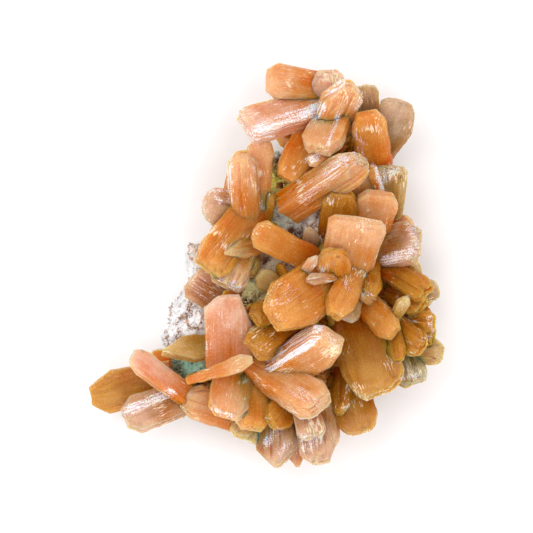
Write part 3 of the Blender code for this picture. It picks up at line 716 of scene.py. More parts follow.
def crystal_surface(crystal, look, seed):
    """Points, faces, how pale each point is, and the crystal's place as a matrix.

    The crystal is a pile of plates, and each plate is a row of laths, some of which end short of the tip.
    Its broad faces fall off from a ridge to both sides and towards the tip, and its sides show the plates.
    """
    chance = random.Random(seed)
    length, place = frame_of(crystal)
    across, laths = lath_columns(crystal, look, chance)
    levels = plate_levels(crystal, look, chance)
    row_count = max(FEWEST_ROWS, round(length / ROW_SPACING_MM))
    rows = np.append(np.linspace(0, 1 - ROUND_OVER_MM / length, row_count), 1)
    half = crystal.width / 2
    half_depth = crystal.thickness / 2
    corners = end_line(crystal, length)
    # Each wave, lump and hollow below has a seed of its own, a little above the crystal's
    reach = np.interp(across * half, *corners)
    reach -= look.waviness * wave_along(across * half, END_WAVE_MM, seed + 5)
    side_line = np.where(across < 0, *crystal.shoulders) * length
    side_waves = [look.waviness * wave_along(rows * length, SIDE_WAVE_MM, seed + side) for side in (8, 9)]
    side_wave = np.where(across < 0, *(wave[:, None] for wave in side_waves))
    waist = crystal.waist + (1 - crystal.waist) * WAIST_FILL * min(max(crystal.width / NARROW_MM - 1, 0), 1)
    lath_count = laths[-1] + 1
    plates = len(levels) - 1
    # For the lower and the upper broad face: place of the ridge, fall to the sides, start and fall of the
    # nose
    slopes = [(chance.uniform(*RIDGE_PLACES), half * steepness(LEAST_ROOF_ANGLE, look.roof_angle, chance),
               length * chance.uniform(*NOSE_STARTS), steepness(LEAST_NOSE_ANGLE, look.nose_angle, chance))
              for _ in range(2)]

    def outline(level, jitter, shy):
        inset = BEVEL_RUN * max(0, abs(level) - half_depth * crystal.side) + jitter
        y = np.outer(rows, reach - inset - shy)
        width_here = half * (waist + (1 - waist) * np.clip(y / side_line, 0, 1)) + SIDE_FILL_MM
        return across * (width_here - inset - side_wave), y

    def fallen(x, y, level):
        ridge, roof, nose_start, nose = slopes[level > 0]
        to_sides = np.maximum(0, np.abs(x / half - ridge) - RIDGE_SHARE) * roof
        return np.minimum(to_sides + np.maximum(0, y - nose_start) * nose, MOST_FALL * half_depth)

    def broad_face(x, y, level, outward, salt):
        points = np.stack([x.ravel(), y.ravel(), np.full(x.size, level)], axis=1)
        share = np.repeat(rows, len(across))
        sink = lath_heights(lath_count, look.lath_relief * crystal.relief, chance)
        broken = share > np.tile(lath_breaks(lath_count, chance)[laths], len(rows))
        pebbles = lumps_at(points * PEBBLE_SCALE, look.pebble_size, salt) * look.pebble_height
        pebbles *= crystal.relief * (ROOT_PEBBLES + (1 - ROOT_PEBBLES) * share)
        height = pebbles + (lumps_at(points * SWELL_SCALE, SWELL_MM, salt + 1) - 1) * look.swell_height
        height -= np.tile(sink[laths], len(rows)) + broken * look.break_depth * crystal.relief
        points[:, 2] += outward * (height - fallen(points[:, 0], points[:, 1], level))
        return points

    rim = rim_of(len(rows), len(across))
    rings, ends = [], []
    for plate in range(plates):
        jitter = chance.uniform(0, look.step_depth) * (SMOOTH_STEPS + crystal.relief)
        most = look.end_step * crystal.relief * (OUTER_END_STEPS if plate in (0, plates - 1) else 1)
        shy = lath_heights(lath_count, most, chance)[laths]
        for level in (levels[plate], levels[plate + 1]):
            x, y = outline(level, jitter, shy)
            ends.append((x, y))
            x, y = x.ravel()[rim], y.ravel()[rim]
            rings.append(np.stack([x, y, level * (1 - fallen(x, y, level) / half_depth)], axis=1))
    top = broad_face(*ends[0], levels[0], 1, seed)
    bottom = broad_face(*ends[-1], levels[-1], -1, seed + 7)
    top[rim, 2] -= ROUND_OVER_DROP_MM
    bottom[rim, 2] += ROUND_OVER_DROP_MM
    lowest, highest = bottom[rim, 2] + ROUND_OVER_DROP_MM, top[rim, 2] - ROUND_OVER_DROP_MM
    for ring in rings[1:-1]:
        ring[:, 2] = np.clip(ring[:, 2], lowest, highest)
    walls = np.concatenate(rings[1:-1])
    hollows = (0.5 + 0.5 * lumps_at(walls, HOLLOW_MM, seed + 3)) * HOLLOW_DEPTH_MM * crystal.relief
    walls[:, 0] -= np.where(np.abs(walls[:, 0]) > MIDDLE_MM, np.sign(walls[:, 0]) * hollows, 0)
    points = np.concatenate([top, bottom, walls])
    faces = surface_faces(len(rows), len(across), rim, len(rings) - 2)
    from_edge = np.minimum(half - np.abs(points[:, 0]), np.interp(points[:, 0], *corners) - points[:, 1])
    thin = np.exp(-np.maximum(0, from_edge) / THIN_EDGE_MM)
    return points, faces, PALE_BY_LENGTH * points[:, 1] / length + (1 - PALE_BY_LENGTH) * thin, place


def rim_of(rows, columns):
    """Numbers of a grid's points around its rim: up the left side, across the end, down the right, back."""
    numbers = np.arange(rows * columns).reshape(rows, columns)
    return np.concatenate([numbers[:, 0], numbers[-1, 1:], numbers[-2::-1, -1], numbers[0, -2:0:-1]])


def surface_faces(rows, columns, rim, ring_count):
    """Faces of two grids, and of the rings of wall between their rims."""
    cell = (np.arange(rows - 1)[:, None] * columns + np.arange(columns - 1)).ravel()
    top = np.stack([cell, cell + 1, cell + columns + 1, cell + columns], axis=1)
    bottom = top[:, ::-1] + rows * columns
    around = len(rim)
    rings = [rim] + [2 * rows * columns + ring * around + np.arange(around) for ring in range(ring_count)]
    rings.append(rim + rows * columns)
    walls = [np.stack([low, high, np.roll(high, -1), np.roll(low, -1)], axis=1)
             for high, low in zip(rings, rings[1:])]
    return np.concatenate([top, bottom, *walls])


def mesh_of(name, points, faces, slots=None):
    """A mesh from points in millimetres, and faces that have the same number of corners each."""
    mesh = bpy.data.meshes.new(name)
    mesh.vertices.add(len(points))
    mesh.loops.add(faces.size)
    mesh.polygons.add(len(faces))
    mesh.vertices.foreach_set("co", (points * MM).astype(np.float32).ravel())
    mesh.loops.foreach_set("vertex_index", faces.astype(np.int32).ravel())
    mesh.polygons.foreach_set("loop_start", np.arange(len(faces), dtype=np.int32) * faces.shape[1])
    if slots is not None:
        mesh.polygons.foreach_set("material_index", slots.astype(np.int32))
    mesh.update(calc_edges=True)
    mesh.validate()
    return mesh


def keep_value(mesh, name, values):
    """Keeps a number, or three, with each point of a mesh, for its material to read."""
    kind, field = ("FLOAT_VECTOR", "vector") if values.ndim == 2 else ("FLOAT", "value")
    kept = mesh.attributes.new(name, kind, "POINT")
    kept.data.foreach_set(field, values.astype(np.float32).ravel())


def read_points(mesh, kind):
    """The mesh's points, or the normals at them, as an array."""
    values = np.zeros(len(mesh.vertices) * 3, dtype=np.float32)
    mesh.vertices.foreach_get(kind, values)
    return values.reshape(-1, 3).astype(float)


def add_piece(name, mesh, nodes=(), slot=""):
    """Puts a piece in the scene. It stands for the solids that are named, if any."""
    piece = bpy.data.objects.new(name, mesh)
    bpy.context.scene.collection.objects.link(piece)
    if slot:
        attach(piece, "root")
    if nodes:
        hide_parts(*nodes)
    return piece


def near_lines(points, places):
    """How near each point lies to the listed lines from above: a line's own strength on it, 0 beyond it."""
    nearness = np.zeros(len(points))
    for start, end, half_width, strength in places:
        start, run = np.array(start), np.array(end) - start
        share = np.clip((points[:, :2] - start) @ run / (run @ run), 0, 1)
        distance = np.linalg.norm(points[:, :2] - start - share[:, None] * run, axis=1)
        nearness = np.maximum(nearness, strength * np.clip(LINE_REACH - distance / half_width, 0, 1))
    return nearness


def build_crystals(name, crystals, look, first_seed):
    """The mesh of some crystals that grow together."""
    parts = []
    tints = sorted({crystal.tint for crystal in crystals})
    start = 0
    for seed, crystal in zip(itertools.count(first_seed, SEED_STEP), crystals):
        points, faces, paleness, place = crystal_surface(crystal, look, seed)
        placed = points @ np.array(place.to_3x3()).T + np.array(place.translation)
        placed[:, 2] = np.maximum(placed[:, 2], 0)
        # Painted highlight along the pearly left side of a crystal
        past = -points[:, 0] / crystal.width - PAINTED_HIGHLIGHT_FROM
        side = crystal.painted_side_highlight * np.clip(past * PAINTED_HIGHLIGHT_SHARPNESS, 0, 1)
        slots = np.full(len(faces), tints.index(crystal.tint))
        parts.append((placed, faces + start, slots, paleness, points + seed, side))
        start += len(points)
    placed, faces, slots, paleness, grain, side = (np.concatenate(part) for part in zip(*parts))
    mesh = mesh_of(name, placed, faces, slots)
    keep_value(mesh, "paleness", paleness)
    keep_value(mesh, "grain", grain)
    # Painted highlight from the listed places and the pearly side, kept only where the surface faces up to
    # the lights
    facing_up = np.clip(read_points(mesh, "normal")[:, 2] * PAINTED_HIGHLIGHT_SHARPNESS, 0, 1)
    painted_highlight = np.maximum(near_lines(read_points(mesh, "co") / MM, PAINTED_HIGHLIGHT_PLACES), side)
    keep_value(mesh, "painted_highlight", painted_highlight * facing_up)
    mesh.shade_smooth()
    mesh.set_sharp_from_angle(angle=CREASE_ANGLE)
    for tint in tints:
        mesh.materials.append(stilbite(tint))
    return mesh


def build_spray(name, look):
    """One spray of crystals, as a single piece."""
    first_seed = list(SPRAYS).index(name) * SPRAY_SEED_STEP + FIRST_SEED
    mesh = build_crystals(f"{name}_crystals", SPRAYS[name], look, first_seed)
    return add_piece(mesh.name, mesh, [name], name)


def build_rock(look):
    """The rock with its coat: its solid made fine and drawn in a little, with grains and fibres all over."""
    fine = bpy.data.objects.new("fine rock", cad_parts["matrix"].data.copy())
    bpy.context.scene.collection.objects.link(fine)
    remesh = fine.modifiers.new("fine", "REMESH")
    remesh.mode = "VOXEL"
    remesh.voxel_size = look.rock_voxel * MM
    bpy.context.view_layer.update()
    mesh = bpy.data.meshes.new_from_object(fine.evaluated_get(bpy.context.evaluated_depsgraph_get()))
    bpy.data.objects.remove(fine)
    points, normals = read_points(mesh, "co") / MM, read_points(mesh, "normal")
    relief = sum(lumps_at(points, size, seed) * height for size, height, seed in ROCK_LUMPS)
    above_cut = np.clip((points[:, 2] - CUT_RIM_MM) / CUT_FADE_MM, 0, 1)
    drawn_in = ROCK_DRAWN_IN_MM + look.fibre_length * FIBRE_ROOM_SHARE
    points += normals * (above_cut * (relief - drawn_in))[:, None]
    points[:, 2] = np.maximum(points[:, 2], 0)
    mesh.vertices.foreach_set("co", (points * MM).ravel())
    mesh.update()
    mesh.shade_smooth()
    keep_value(mesh, "coat", coat_and_painted_light_colours(points))
    mesh.materials.clear()
    mesh.materials.append(mordenite_rock())
    rock = add_piece("mordenite_coated_rock", mesh, ["matrix"], "matrix")
    spots = spots_on(mesh)
    add_grains(spots, look)
    add_fibres(spots, look)
    add_small_crystals(spots, look)
    return rock


def coat_and_painted_light_colours(points):
    """The coat's colour with painted shade and glow: a zone's near its middle, else the felt's, with rusty
    lines.
    """
    felt = bpy.context.scene.mordenite_look.felt_colour
    total = np.tile(felt, (len(points), 1)) * FELT_SHARE
    weight = np.full(len(points), FELT_SHARE)
    height = points[:, 2] + ZONE_WAVER_MM * lumps_at(points, ZONE_WAVER_SIZE_MM, ZONE_WAVER_SEED)
    for colour, (x, y), radius, lowest in COAT_AND_PAINTED_LIGHT_ZONES:
        away = (points[:, 0] - x) ** 2 + (points[:, 1] - y) ** 2
        here = np.exp(-away / radius ** 2) / radius ** 2 * np.clip((height - lowest) / ZONE_RISE_MM, 0, 1)
        total += here[:, None] * np.array(linear(colour))
        weight += here
    lines = np.exp(-(lumps_at(points * LINE_SCALE, LINE_SIZE_MM, LINE_SEED) / LINE_SHARE) ** 2)
    lines *= points[:, 2] > LINE_START_MM
    return total / weight[:, None] * (1 - lines[:, None] * (1 - np.array(linear(LINE_STAIN))))


@dataclass
class Spots:
    """The rock's triangles with how likely a grain or a fibre is to grow on each."""

    corners: np.ndarray
    normals: np.ndarray
    chance: np.ndarray
    covers: list

    def blocked(self, start, way):
        """True where a large crystal lies in a direction from a point."""
        return any(tree.ray_cast(start, way)[0] for tree in self.covers)

    def gap_at(self, point):
        """True where a large crystal lies above a point, or large crystals stand around it on most sides."""
        start = Vector(point) * MM
        if self.blocked(start, Vector((0, 0, 1))):
            return True
        return sum(self.blocked(start, way) for way in AROUND) >= SHELTERED_SIDES

    def pick(self, count, generator):
        """Some places on the rock, and the rock's direction outwards there."""
        chosen = generator.choice(len(self.chance), count, p=self.chance)
        u, v = generator.random(count), generator.random(count)
        over = u + v > 1
        u, v = np.where(over, 1 - u, u), np.where(over, 1 - v, v)
        a, b, c = self.corners[chosen].transpose(1, 0, 2)
        return a + (b - a) * u[:, None] + (c - a) * v[:, None], self.normals[chosen]


def spots_on(rock):
    """Where grains and fibres grow on the rock: above the cut, and most where no crystal covers it."""
    rock.calc_loop_triangles()
    numbers = np.zeros(len(rock.loop_triangles) * 3, dtype=np.int32)
    rock.loop_triangles.foreach_get("vertices", numbers)
    corners = (read_points(rock, "co") / MM)[numbers.reshape(-1, 3)]
    cross = np.cross(corners[:, 1] - corners[:, 0], corners[:, 2] - corners[:, 0])
    area = np.linalg.norm(cross, axis=1)
    normals = cross / np.maximum(area, 1e-9)[:, None]
    meshes = [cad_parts[name].data for name in SPRAYS]
    covers = [BVHTree.FromPolygons([v.co for v in mesh.vertices], [list(p.vertices) for p in mesh.polygons])
              for mesh in meshes]
    middle = corners.mean(axis=1)
    growing = middle[:, 2] > LOWEST_GROWTH_MM
    spots = Spots(corners, normals, area * growing, covers)
    for number in np.flatnonzero(growing):
        start = Vector((middle[number] + normals[number] * LOOK_START_MM) * MM)
        faced = [way for way in LOOK_WAYS if way.dot(normals[number]) > LEAST_FACING]
        open_ways = sum(not spots.blocked(start, way) for way in faced)
        spots.chance[number] *= COVERED_CHANCE + open_ways / len(LOOK_WAYS)
    spots.chance /= spots.chance.sum()
    return spots


def scatter_directions(normals, spread, generator):
    """Directions around the normals, and two directions across each."""
    along = normals + generator.normal(0, spread, normals.shape)
    along /= np.linalg.norm(along, axis=1)[:, None]
    side = np.cross(along, generator.normal(0, 1, normals.shape))
    side /= np.linalg.norm(side, axis=1)[:, None]
    return along, side, np.cross(along, side)


def add_small_crystals(spots, look):
    """Small stilbite crystals that fill the gaps between the large ones, away from the felt's places."""
    generator = np.random.default_rng(SMALL_PLACES_SEED)
    centre, normal = spots.pick(look.small_crystal_count, generator)
    along, _, _ = scatter_directions(normal, SMALL_SPREAD, generator)
    felted = near_lines(centre, FELT_PLACES) * (centre[:, 2] > FELT_HEIGHT_MM)
    crystals = []
    for foot, way, felt in zip(centre, along, felted):
        length = generator.uniform(*SMALL_LENGTHS_MM)
        width = length * generator.uniform(*SMALL_WIDTHS)
        tint = SMALL_TINTS[generator.integers(len(SMALL_TINTS))]
        tip = foot + way * length
        if felt < MOST_FELT and foot[2] > SMALL_CRYSTAL_HEIGHT_MM and spots.gap_at(tip):
            root = tuple(foot - way * SMALL_ROOT_MM)
            roll = generator.uniform(-SMALL_MOST_ROLL, SMALL_MOST_ROLL)
            rounded = generator.random() < SMALL_ROUNDED
            crystals.append(Crystal(root, tuple(tip), width, width / 2, roll, side=SMALL_SIDE,
                                    rounded=rounded, tint=tint))
    coarse = SimpleNamespace(**{name: getattr(bpy.context.scene.stilbite_look, name)
                                for name in StilbiteLook.__annotations__})
    coarse.lath_width = SMALL_LATH_MM
    coarse.plate_thickness = SMALL_PLATE_MM
    mesh = build_crystals("small_stilbite_crystals", crystals, coarse, SMALL_SEED)
    add_piece(mesh.name, mesh, slot="matrix")


def add_coated(name, points, faces, centres, generator, material):
    """A piece of many grains or fibres. Each has the coat's colour and a tone, even where that is bright."""
    points = np.stack(points, axis=1)
    corners = points.shape[1]
    points = points.reshape(-1, 3)
    points[:, 2] = np.maximum(points[:, 2], LOWEST_TIP_MM)
    first = np.arange(len(centres))[:, None] * corners
    mesh = mesh_of(name, points, np.concatenate([first + face for face in faces]))
    # The coat's colour here includes the zones' painted shade and painted glow
    coat = coat_and_painted_light_colours(centres)
    tone = np.maximum(generator.random(len(centres)), EVEN_TONE * coat.max(axis=1))
    keep_value(mesh, "coat", np.repeat(coat, corners, axis=0))
    keep_value(mesh, "tone", np.repeat(tone, corners))
    mesh.materials.append(material)
    add_piece(name, mesh, slot="matrix")


def crust_share(centres):
    """Each grain's or fibre's share of the full size: they are finer and lie closer in the white crust."""
    return 1 - CRUST_FINENESS * coat_and_painted_light_colours(centres).min(axis=1)[:, None]


def add_grains(spots, look):
    """Small stilbite and mordenite crystals all over the rock, as pointed blocks."""
    generator = np.random.default_rng(GRAIN_PLACES_SEED)
    centre, normal = spots.pick(look.grain_count, generator)
    along, side, other = scatter_directions(normal, GRAIN_SPREAD, generator)
    size = look.grain_size * generator.uniform(*GRAIN_SIZES, (look.grain_count, 1)) * crust_share(centre)
    wide, thin, foot = (way * size * share for way, share in zip((side, other, along), GRAIN_SHAPE))
    points = [centre + part for part in (along * size, wide, thin, -wide, -thin, -foot)]
    faces = [(0, 1, 2), (0, 2, 3), (0, 3, 4), (0, 4, 1), (5, 2, 1), (5, 3, 2), (5, 4, 3), (5, 1, 4)]
    add_coated("druse_grains", points, faces, centre, generator, druse())


def add_fibres(spots, look):
    """Tufts of mordenite fibres all over the rock."""
    generator = np.random.default_rng(FIBRE_PLACES_SEED)
    centre, normal = (np.repeat(each, look.fibres_per_tuft, axis=0)
                      for each in spots.pick(look.tuft_count, generator))
    along, side, other = scatter_directions(normal, FIBRE_SPREAD, generator)
    foot = centre + generator.normal(0, TUFT_RADIUS_MM, centre.shape) - along * FIBRE_DEPTH_MM
    length = look.fibre_length * generator.uniform(*FIBRE_LENGTHS, (len(centre), 1)) * crust_share(centre)
    radius = look.fibre_radius * generator.uniform(*FIBRE_RADII, (len(centre), 1))
    points = [foot + radius * (math.cos(turn) * side + math.sin(turn) * other) for turn in THIRDS_OF_TURN]
    points.append(foot + along * length)
    faces = [(0, 1, 3), (1, 2, 3), (2, 0, 3)]
    add_coated("mordenite_fibres", points, faces, centre, generator, mordenite_fibre())


# Noise patterns in a crystal, most with a reason in its growth, and two that place painted glints: how often
# each repeats in one mm across the width, along the length and through the thickness, and its detail
STILBITE_PATTERNS = {
    # Clouds of stronger and weaker colour, about 5 mm across
    "clouds": ((0.18, 0.18, 0.18), 4),
    # Growth lines along the crystal, about 0.35 mm apart. Real ones are half as wide, and too fine to show
    "lines": ((3.0, 0.12, 2.2), 3),
    # Flaws and small breaks in the surface, about 0.5 mm across
    "flaws": ((1.9, 1.9, 1.9), 3),
    # Painted glints: short bright dashes along the plates' edges, about 0.3 mm wide and 2 mm long, in
    # patches some 7 mm across
    "edges": ((3.2, 0.5, 2.4), 1),
    "painted_glint_patches": ((0.14, 0.14, 0.14), 1),
    # The net of breaks, about 0.3 mm across, where a plate has split off. The painted white pearly
    # highlights follow it
    "breaks": ((3.0, 3.0, 3.0), 2),
}

# Pieces of plate, about 1.5 mm wide and 6 mm long, that each lie a little higher or lower and deeper or
# paler
PIECE_SCALE = (0.65, 0.17, 0.65)


def add_node(tree, kind, inputs=None, stops=(), **settings):
    """Adds a node. inputs gives each socket a value, or the output to link it from. stops are a ramp's."""
    made = tree.nodes.new(kind)
    for setting, value in settings.items():
        setattr(made, setting, value)
    for socket, value in (inputs or {}).items():
        if isinstance(value, bpy.types.NodeSocket):
            tree.links.new(value, made.inputs[socket])
        else:
            made.inputs[socket].default_value = value
    for number, (position, colour) in enumerate(stops):
        if number >= 2:
            made.color_ramp.elements.new(position)
        made.color_ramp.elements[number].position = position
        made.color_ramp.elements[number].color = (*colour, 1)
    return made


def new_material(name, values):
    """A material, its node tree and its shader, whose even values are given."""
    material = bpy.data.materials.new(name)
    material.use_nodes = True
    tree = material.node_tree
    tree.nodes.clear()
    shader = add_node(tree, "ShaderNodeBsdfPrincipled", values)
    add_node(tree, "ShaderNodeOutputMaterial", {"Surface": shader.outputs["BSDF"]})
    return material, tree, shader


def stilbite(tint):
    """Stilbite, grown in thin plates: it glows orange inside, has painted pearly highlights and painted
    glints on its plates, and is pale at thin edges.
    """
    name = f"{tint}_grown_stilbite"
    if name in bpy.data.materials:
        return bpy.data.materials[name]
    look = bpy.context.scene.stilbite_look
    middle = tuple(getattr(bpy.context.scene.tint_look, tint))
    root = tuple(share ** depth for share, depth in zip(middle, ROOT_DEPTHS))
    milky = min(MOST_MILK, MILK_GAIN * middle[2])
    tip = tuple(share ** TIP_DEPTH * (1 - milky) + milk * milky for share, milk in zip(middle, linear(MILK)))
    veil = tuple(share ** 0.5 for share in tip)
    material, tree, shader = new_material(name, {
        "IOR": 1.50,
        "Subsurface Weight": look.glow,
        "Subsurface Radius": (1.0, 0.45, 0.15),
        "Subsurface Scale": look.glow_depth * MM,
        "Transmission Weight": look.clearness,
        "Specular IOR Level": 0.2,
    })
    paleness = add_node(tree, "ShaderNodeAttribute", attribute_name="paleness").outputs["Fac"]
    grain = add_node(tree, "ShaderNodeAttribute", attribute_name="grain").outputs["Vector"]
    painted_highlight = add_node(tree, "ShaderNodeAttribute", attribute_name="painted_highlight").outputs["Fac"]
    noises = {}
    for pattern, (scale, detail) in STILBITE_PATTERNS.items():
        place = add_node(tree, "ShaderNodeMapping", {"Vector": grain, "Scale": scale}).outputs[0]
        inputs = {"Vector": place, "Scale": 1.0, "Detail": detail}
        noises[pattern] = add_node(tree, "ShaderNodeTexNoise", inputs).outputs["Fac"]
    place = add_node(tree, "ShaderNodeMapping", {"Vector": grain, "Scale": PIECE_SCALE}).outputs[0]
    pieces = add_node(tree, "ShaderNodeTexVoronoi", {"Vector": place, "Scale": 1.0}).outputs["Color"]

    def weighted(height, weight, added):
        inputs = {0: height, 1: weight, 2: added}
        return add_node(tree, "ShaderNodeMath", inputs, operation="MULTIPLY_ADD").outputs[0]

    # Clouds move the colour most and pieces a little, about its place along the crystal
    pale = weighted(pieces, 0.26, weighted(noises["clouds"], 1.7, paleness))
    pale = weighted(pale, 1.0, -0.95)
    stops = [(0.0, root), (0.45, middle), (1.0, tip)]
    body = add_node(tree, "ShaderNodeValToRGB", {"Fac": pale}, stops).outputs[0]
    # Pale growth lines, then painted glints as bright dashes along the plates, then painted white pearly
    # highlights
    # in the net of breaks: height, where it sets in, where it is full, its most and its colour
    for height, low, full, most, colour in (
            (noises["lines"], 0.5, 0.75, look.streak_strength, veil),
            (weighted(noises["painted_glint_patches"], 1.3, noises["edges"]), 1.42, 1.54, 0.8, linear("#FFEBCF")),
            (weighted(painted_highlight, 0.55, weighted(noises["breaks"], 1.0, noises["lines"])), 1.32, 1.58, 1.0,
             linear("#FCF2F6"))):
        inputs = {"Value": height, "From Min": low, "From Max": full, "To Max": most}
        inputs = {0: add_node(tree, "ShaderNodeMapRange", inputs).outputs[0], 6: body, 7: (*colour, 1)}
        body = add_node(tree, "ShaderNodeMix", inputs, data_type="RGBA").outputs[2]
    tree.links.new(body, shader.inputs["Base Color"])
    rough = add_node(tree, "ShaderNodeMapRange", {"Value": noises["flaws"], "From Min": 0.3, "From Max": 0.7,
                                                  "To Min": 0.12, "To Max": 0.34})
    tree.links.new(rough.outputs[0], shader.inputs["Roughness"])
    below = {}
    for height, strength in ((noises["lines"], 0.4), (noises["flaws"], 0.14), (pieces, 0.5)):
        inputs = {"Height": height, "Strength": strength, "Distance": 0.1 * MM, **below}
        below = {"Normal": add_node(tree, "ShaderNodeBump", inputs).outputs[0]}
    tree.links.new(below["Normal"], shader.inputs["Normal"])
    return material


def toned_coat(tree, dark, pale):
    """The coat's colour, with the zones' painted shade and glow, darker or paler with each grain's tone."""
    coat = add_node(tree, "ShaderNodeAttribute", attribute_name="coat").outputs["Color"]
    tone = add_node(tree, "ShaderNodeAttribute", attribute_name="tone").outputs["Fac"]
    stops = [(0.0, linear(dark)), (0.3, (0.6, 0.6, 0.6)), (0.6, (1, 1, 1)), (1.0, (pale, pale, pale))]
    shade = add_node(tree, "ShaderNodeValToRGB", {"Fac": tone}, stops).outputs[0]
    inputs = {0: 1.0, 6: coat, 7: shade}
    return add_node(tree, "ShaderNodeMix", inputs, data_type="RGBA", blend_type="MULTIPLY",
                    clamp_result=True).outputs[2]


def mordenite_rock():
    """Basalt under a felt of mordenite: matt, with rusty lines where the felt has parted and brown pits."""
    material, tree, shader = new_material("mordenite_coated_basalt", {"Roughness": 0.85})
    place = add_node(tree, "ShaderNodeTexCoord").outputs["Object"]
    # The coat's colour, with the zones' painted shade and painted glow
    colour = add_node(tree, "ShaderNodeAttribute", attribute_name="coat").outputs["Color"]
    # Rusty lines about 2 mm apart, then pits 6 mm apart: repeats in one metre, detail, distortion, where
    # the stain is full, where it ends, its colour
    for scale, detail, distortion, full, none, stain in ((500, 2, 1.2, 0.36, 0.46, "#B49A88"),
                                                         (170, 1, 0, 0.30, 0.38, "#8A5020")):
        inputs = {"Vector": place, "Scale": scale, "Detail": detail, "Distortion": distortion}
        noise = add_node(tree, "ShaderNodeTexNoise", inputs).outputs["Fac"]
        stops = [(full, linear(stain)), (none, (1, 1, 1))]
        shade = add_node(tree, "ShaderNodeValToRGB", {"Fac": noise}, stops).outputs[0]
        inputs = {0: 1.0, 6: colour, 7: shade}
        colour = add_node(tree, "ShaderNodeMix", inputs, data_type="RGBA", blend_type="MULTIPLY").outputs[2]
    tree.links.new(colour, shader.inputs["Base Color"])
    # Grit of about 0.8 mm
    grit = add_node(tree, "ShaderNodeTexNoise", {"Vector": place, "Scale": 1300, "Detail": 2}).outputs["Fac"]
    bump = add_node(tree, "ShaderNodeBump", {"Height": grit, "Strength": 0.6, "Distance": 0.3 * MM})
    tree.links.new(bump.outputs[0], shader.inputs["Normal"])
    return material


def druse():
    """Small crystals grown close together: glassy faces, some clear and some stained."""
    values = {"Roughness": 0.22, "IOR": 1.50, "Transmission Weight": 0.1}
    material, tree, shader = new_material("grown_druse", values)
    tree.links.new(toned_coat(tree, "#6E5030", 2.0), shader.inputs["Base Color"])
    return material


def mordenite_fibre():
    """Mordenite, grown as needles: white with a silky gleam. Drawn some five times as thick as real ones."""
    material, tree, shader = new_material("grown_mordenite_needles", {"Roughness": 0.4, "IOR": 1.47})
    tree.links.new(toned_coat(tree, "#A89080", 1.8), shader.inputs["Base Color"])
    return material


def floor_paint(colour):
    """Smooth matt white paint: an even pale ground with a faint mottle, 17 mm across."""
    material, tree, shader = new_material("matt_white_rolled_paint", {"Roughness": 0.8})
    place = add_node(tree, "ShaderNodeTexCoord").outputs["Object"]
    mottle = add_node(tree, "ShaderNodeTexNoise", {"Vector": place, "Scale": 60, "Detail": 3}).outputs["Fac"]
    stops = [(0.3, tuple(share * 0.96 for share in colour)), (0.7, tuple(colour))]
    paint = add_node(tree, "ShaderNodeValToRGB", {"Fac": mottle}, stops).outputs[0]
    tree.links.new(paint, shader.inputs["Base Color"])
    return material


def build_floor(stage):
    """A pale floor."""
    corners = np.array([(-1, -1, 0), (1, -1, 0), (1, 1, 0), (-1, 1, 0)]) * FLOOR_REACH_MM
    mesh = mesh_of("floor", corners, np.array([(0, 1, 2, 3)]))
    mesh.materials.append(floor_paint(stage.floor_colour))
    add_piece("floor", mesh)


def build_lights(stage):
    """Soft lights around the specimen, and even light from the room."""
    for name, azimuth, elevation, size, power, colour in SOFTBOXES:
        light = bpy.data.lights.new(name, "AREA")
        light.shape = "SQUARE"
        light.size = size
        light.energy = power * stage.light_power
        light.color = linear(colour)
        box = bpy.data.objects.new(name, light)
        bpy.context.scene.collection.objects.link(box)
        turn, rise = math.radians(azimuth), math.radians(elevation)
        away = Vector((math.cos(turn) * math.cos(rise), math.sin(turn) * math.cos(rise), math.sin(rise)))
        box.location = LIGHT_AIM + away * LIGHT_DISTANCE
        box.rotation_euler = (-away).to_track_quat("-Z", "Y").to_euler()
    world = bpy.data.worlds.new("pale_room")
    world.use_nodes = True
    background = world.node_tree.nodes["Background"]
    background.inputs["Color"].default_value = (*stage.room_colour, 1)
    background.inputs["Strength"].default_value = stage.room_light
    bpy.context.scene.world = world


def build_camera(stage):
    """A camera that looks straight down on the specimen, as the photo does."""
    lens = bpy.data.cameras.new("camera")
    lens.sensor_width = 36
    lens.lens = lens.sensor_width * stage.camera_height / (PICTURE_MM * MM)
    lens.clip_end = 10
    camera = bpy.data.objects.new("camera", lens)
    camera.location = (0, 0, CAMERA_FOCUS_MM * MM + stage.camera_height)
    bpy.context.scene.collection.objects.link(camera)
    bpy.context.scene.camera = camera
    bpy.context.scene.view_settings.view_transform = "Standard"


def colour_property(name, description, code):
    """A colour that a user can change."""
    return FloatVectorProperty(name=name, description=description, default=linear(code), min=0, max=1,
                               subtype="COLOR")


def number_property(name, description, default, low, high, **more):
    """A number that a user can change."""
    return FloatProperty(name=name, description=description, default=default, min=low, max=high, **more)


def share_property(name, description, default):
    """A share from 0 to 1 that a user can change."""
    return number_property(name, description, default, 0, 1, subtype="FACTOR")


def size_property(name, description, default, low, high, unit="mm"):
    """A size that a user can change, in millimetres or in the unit that is named."""
    return number_property(name, f"{description}, in {unit}", default, low, high)


def count_property(name, description, default, high):
    """A number of things that a user can change."""
    return IntProperty(name=name, description=description, default=default, min=1, max=high)


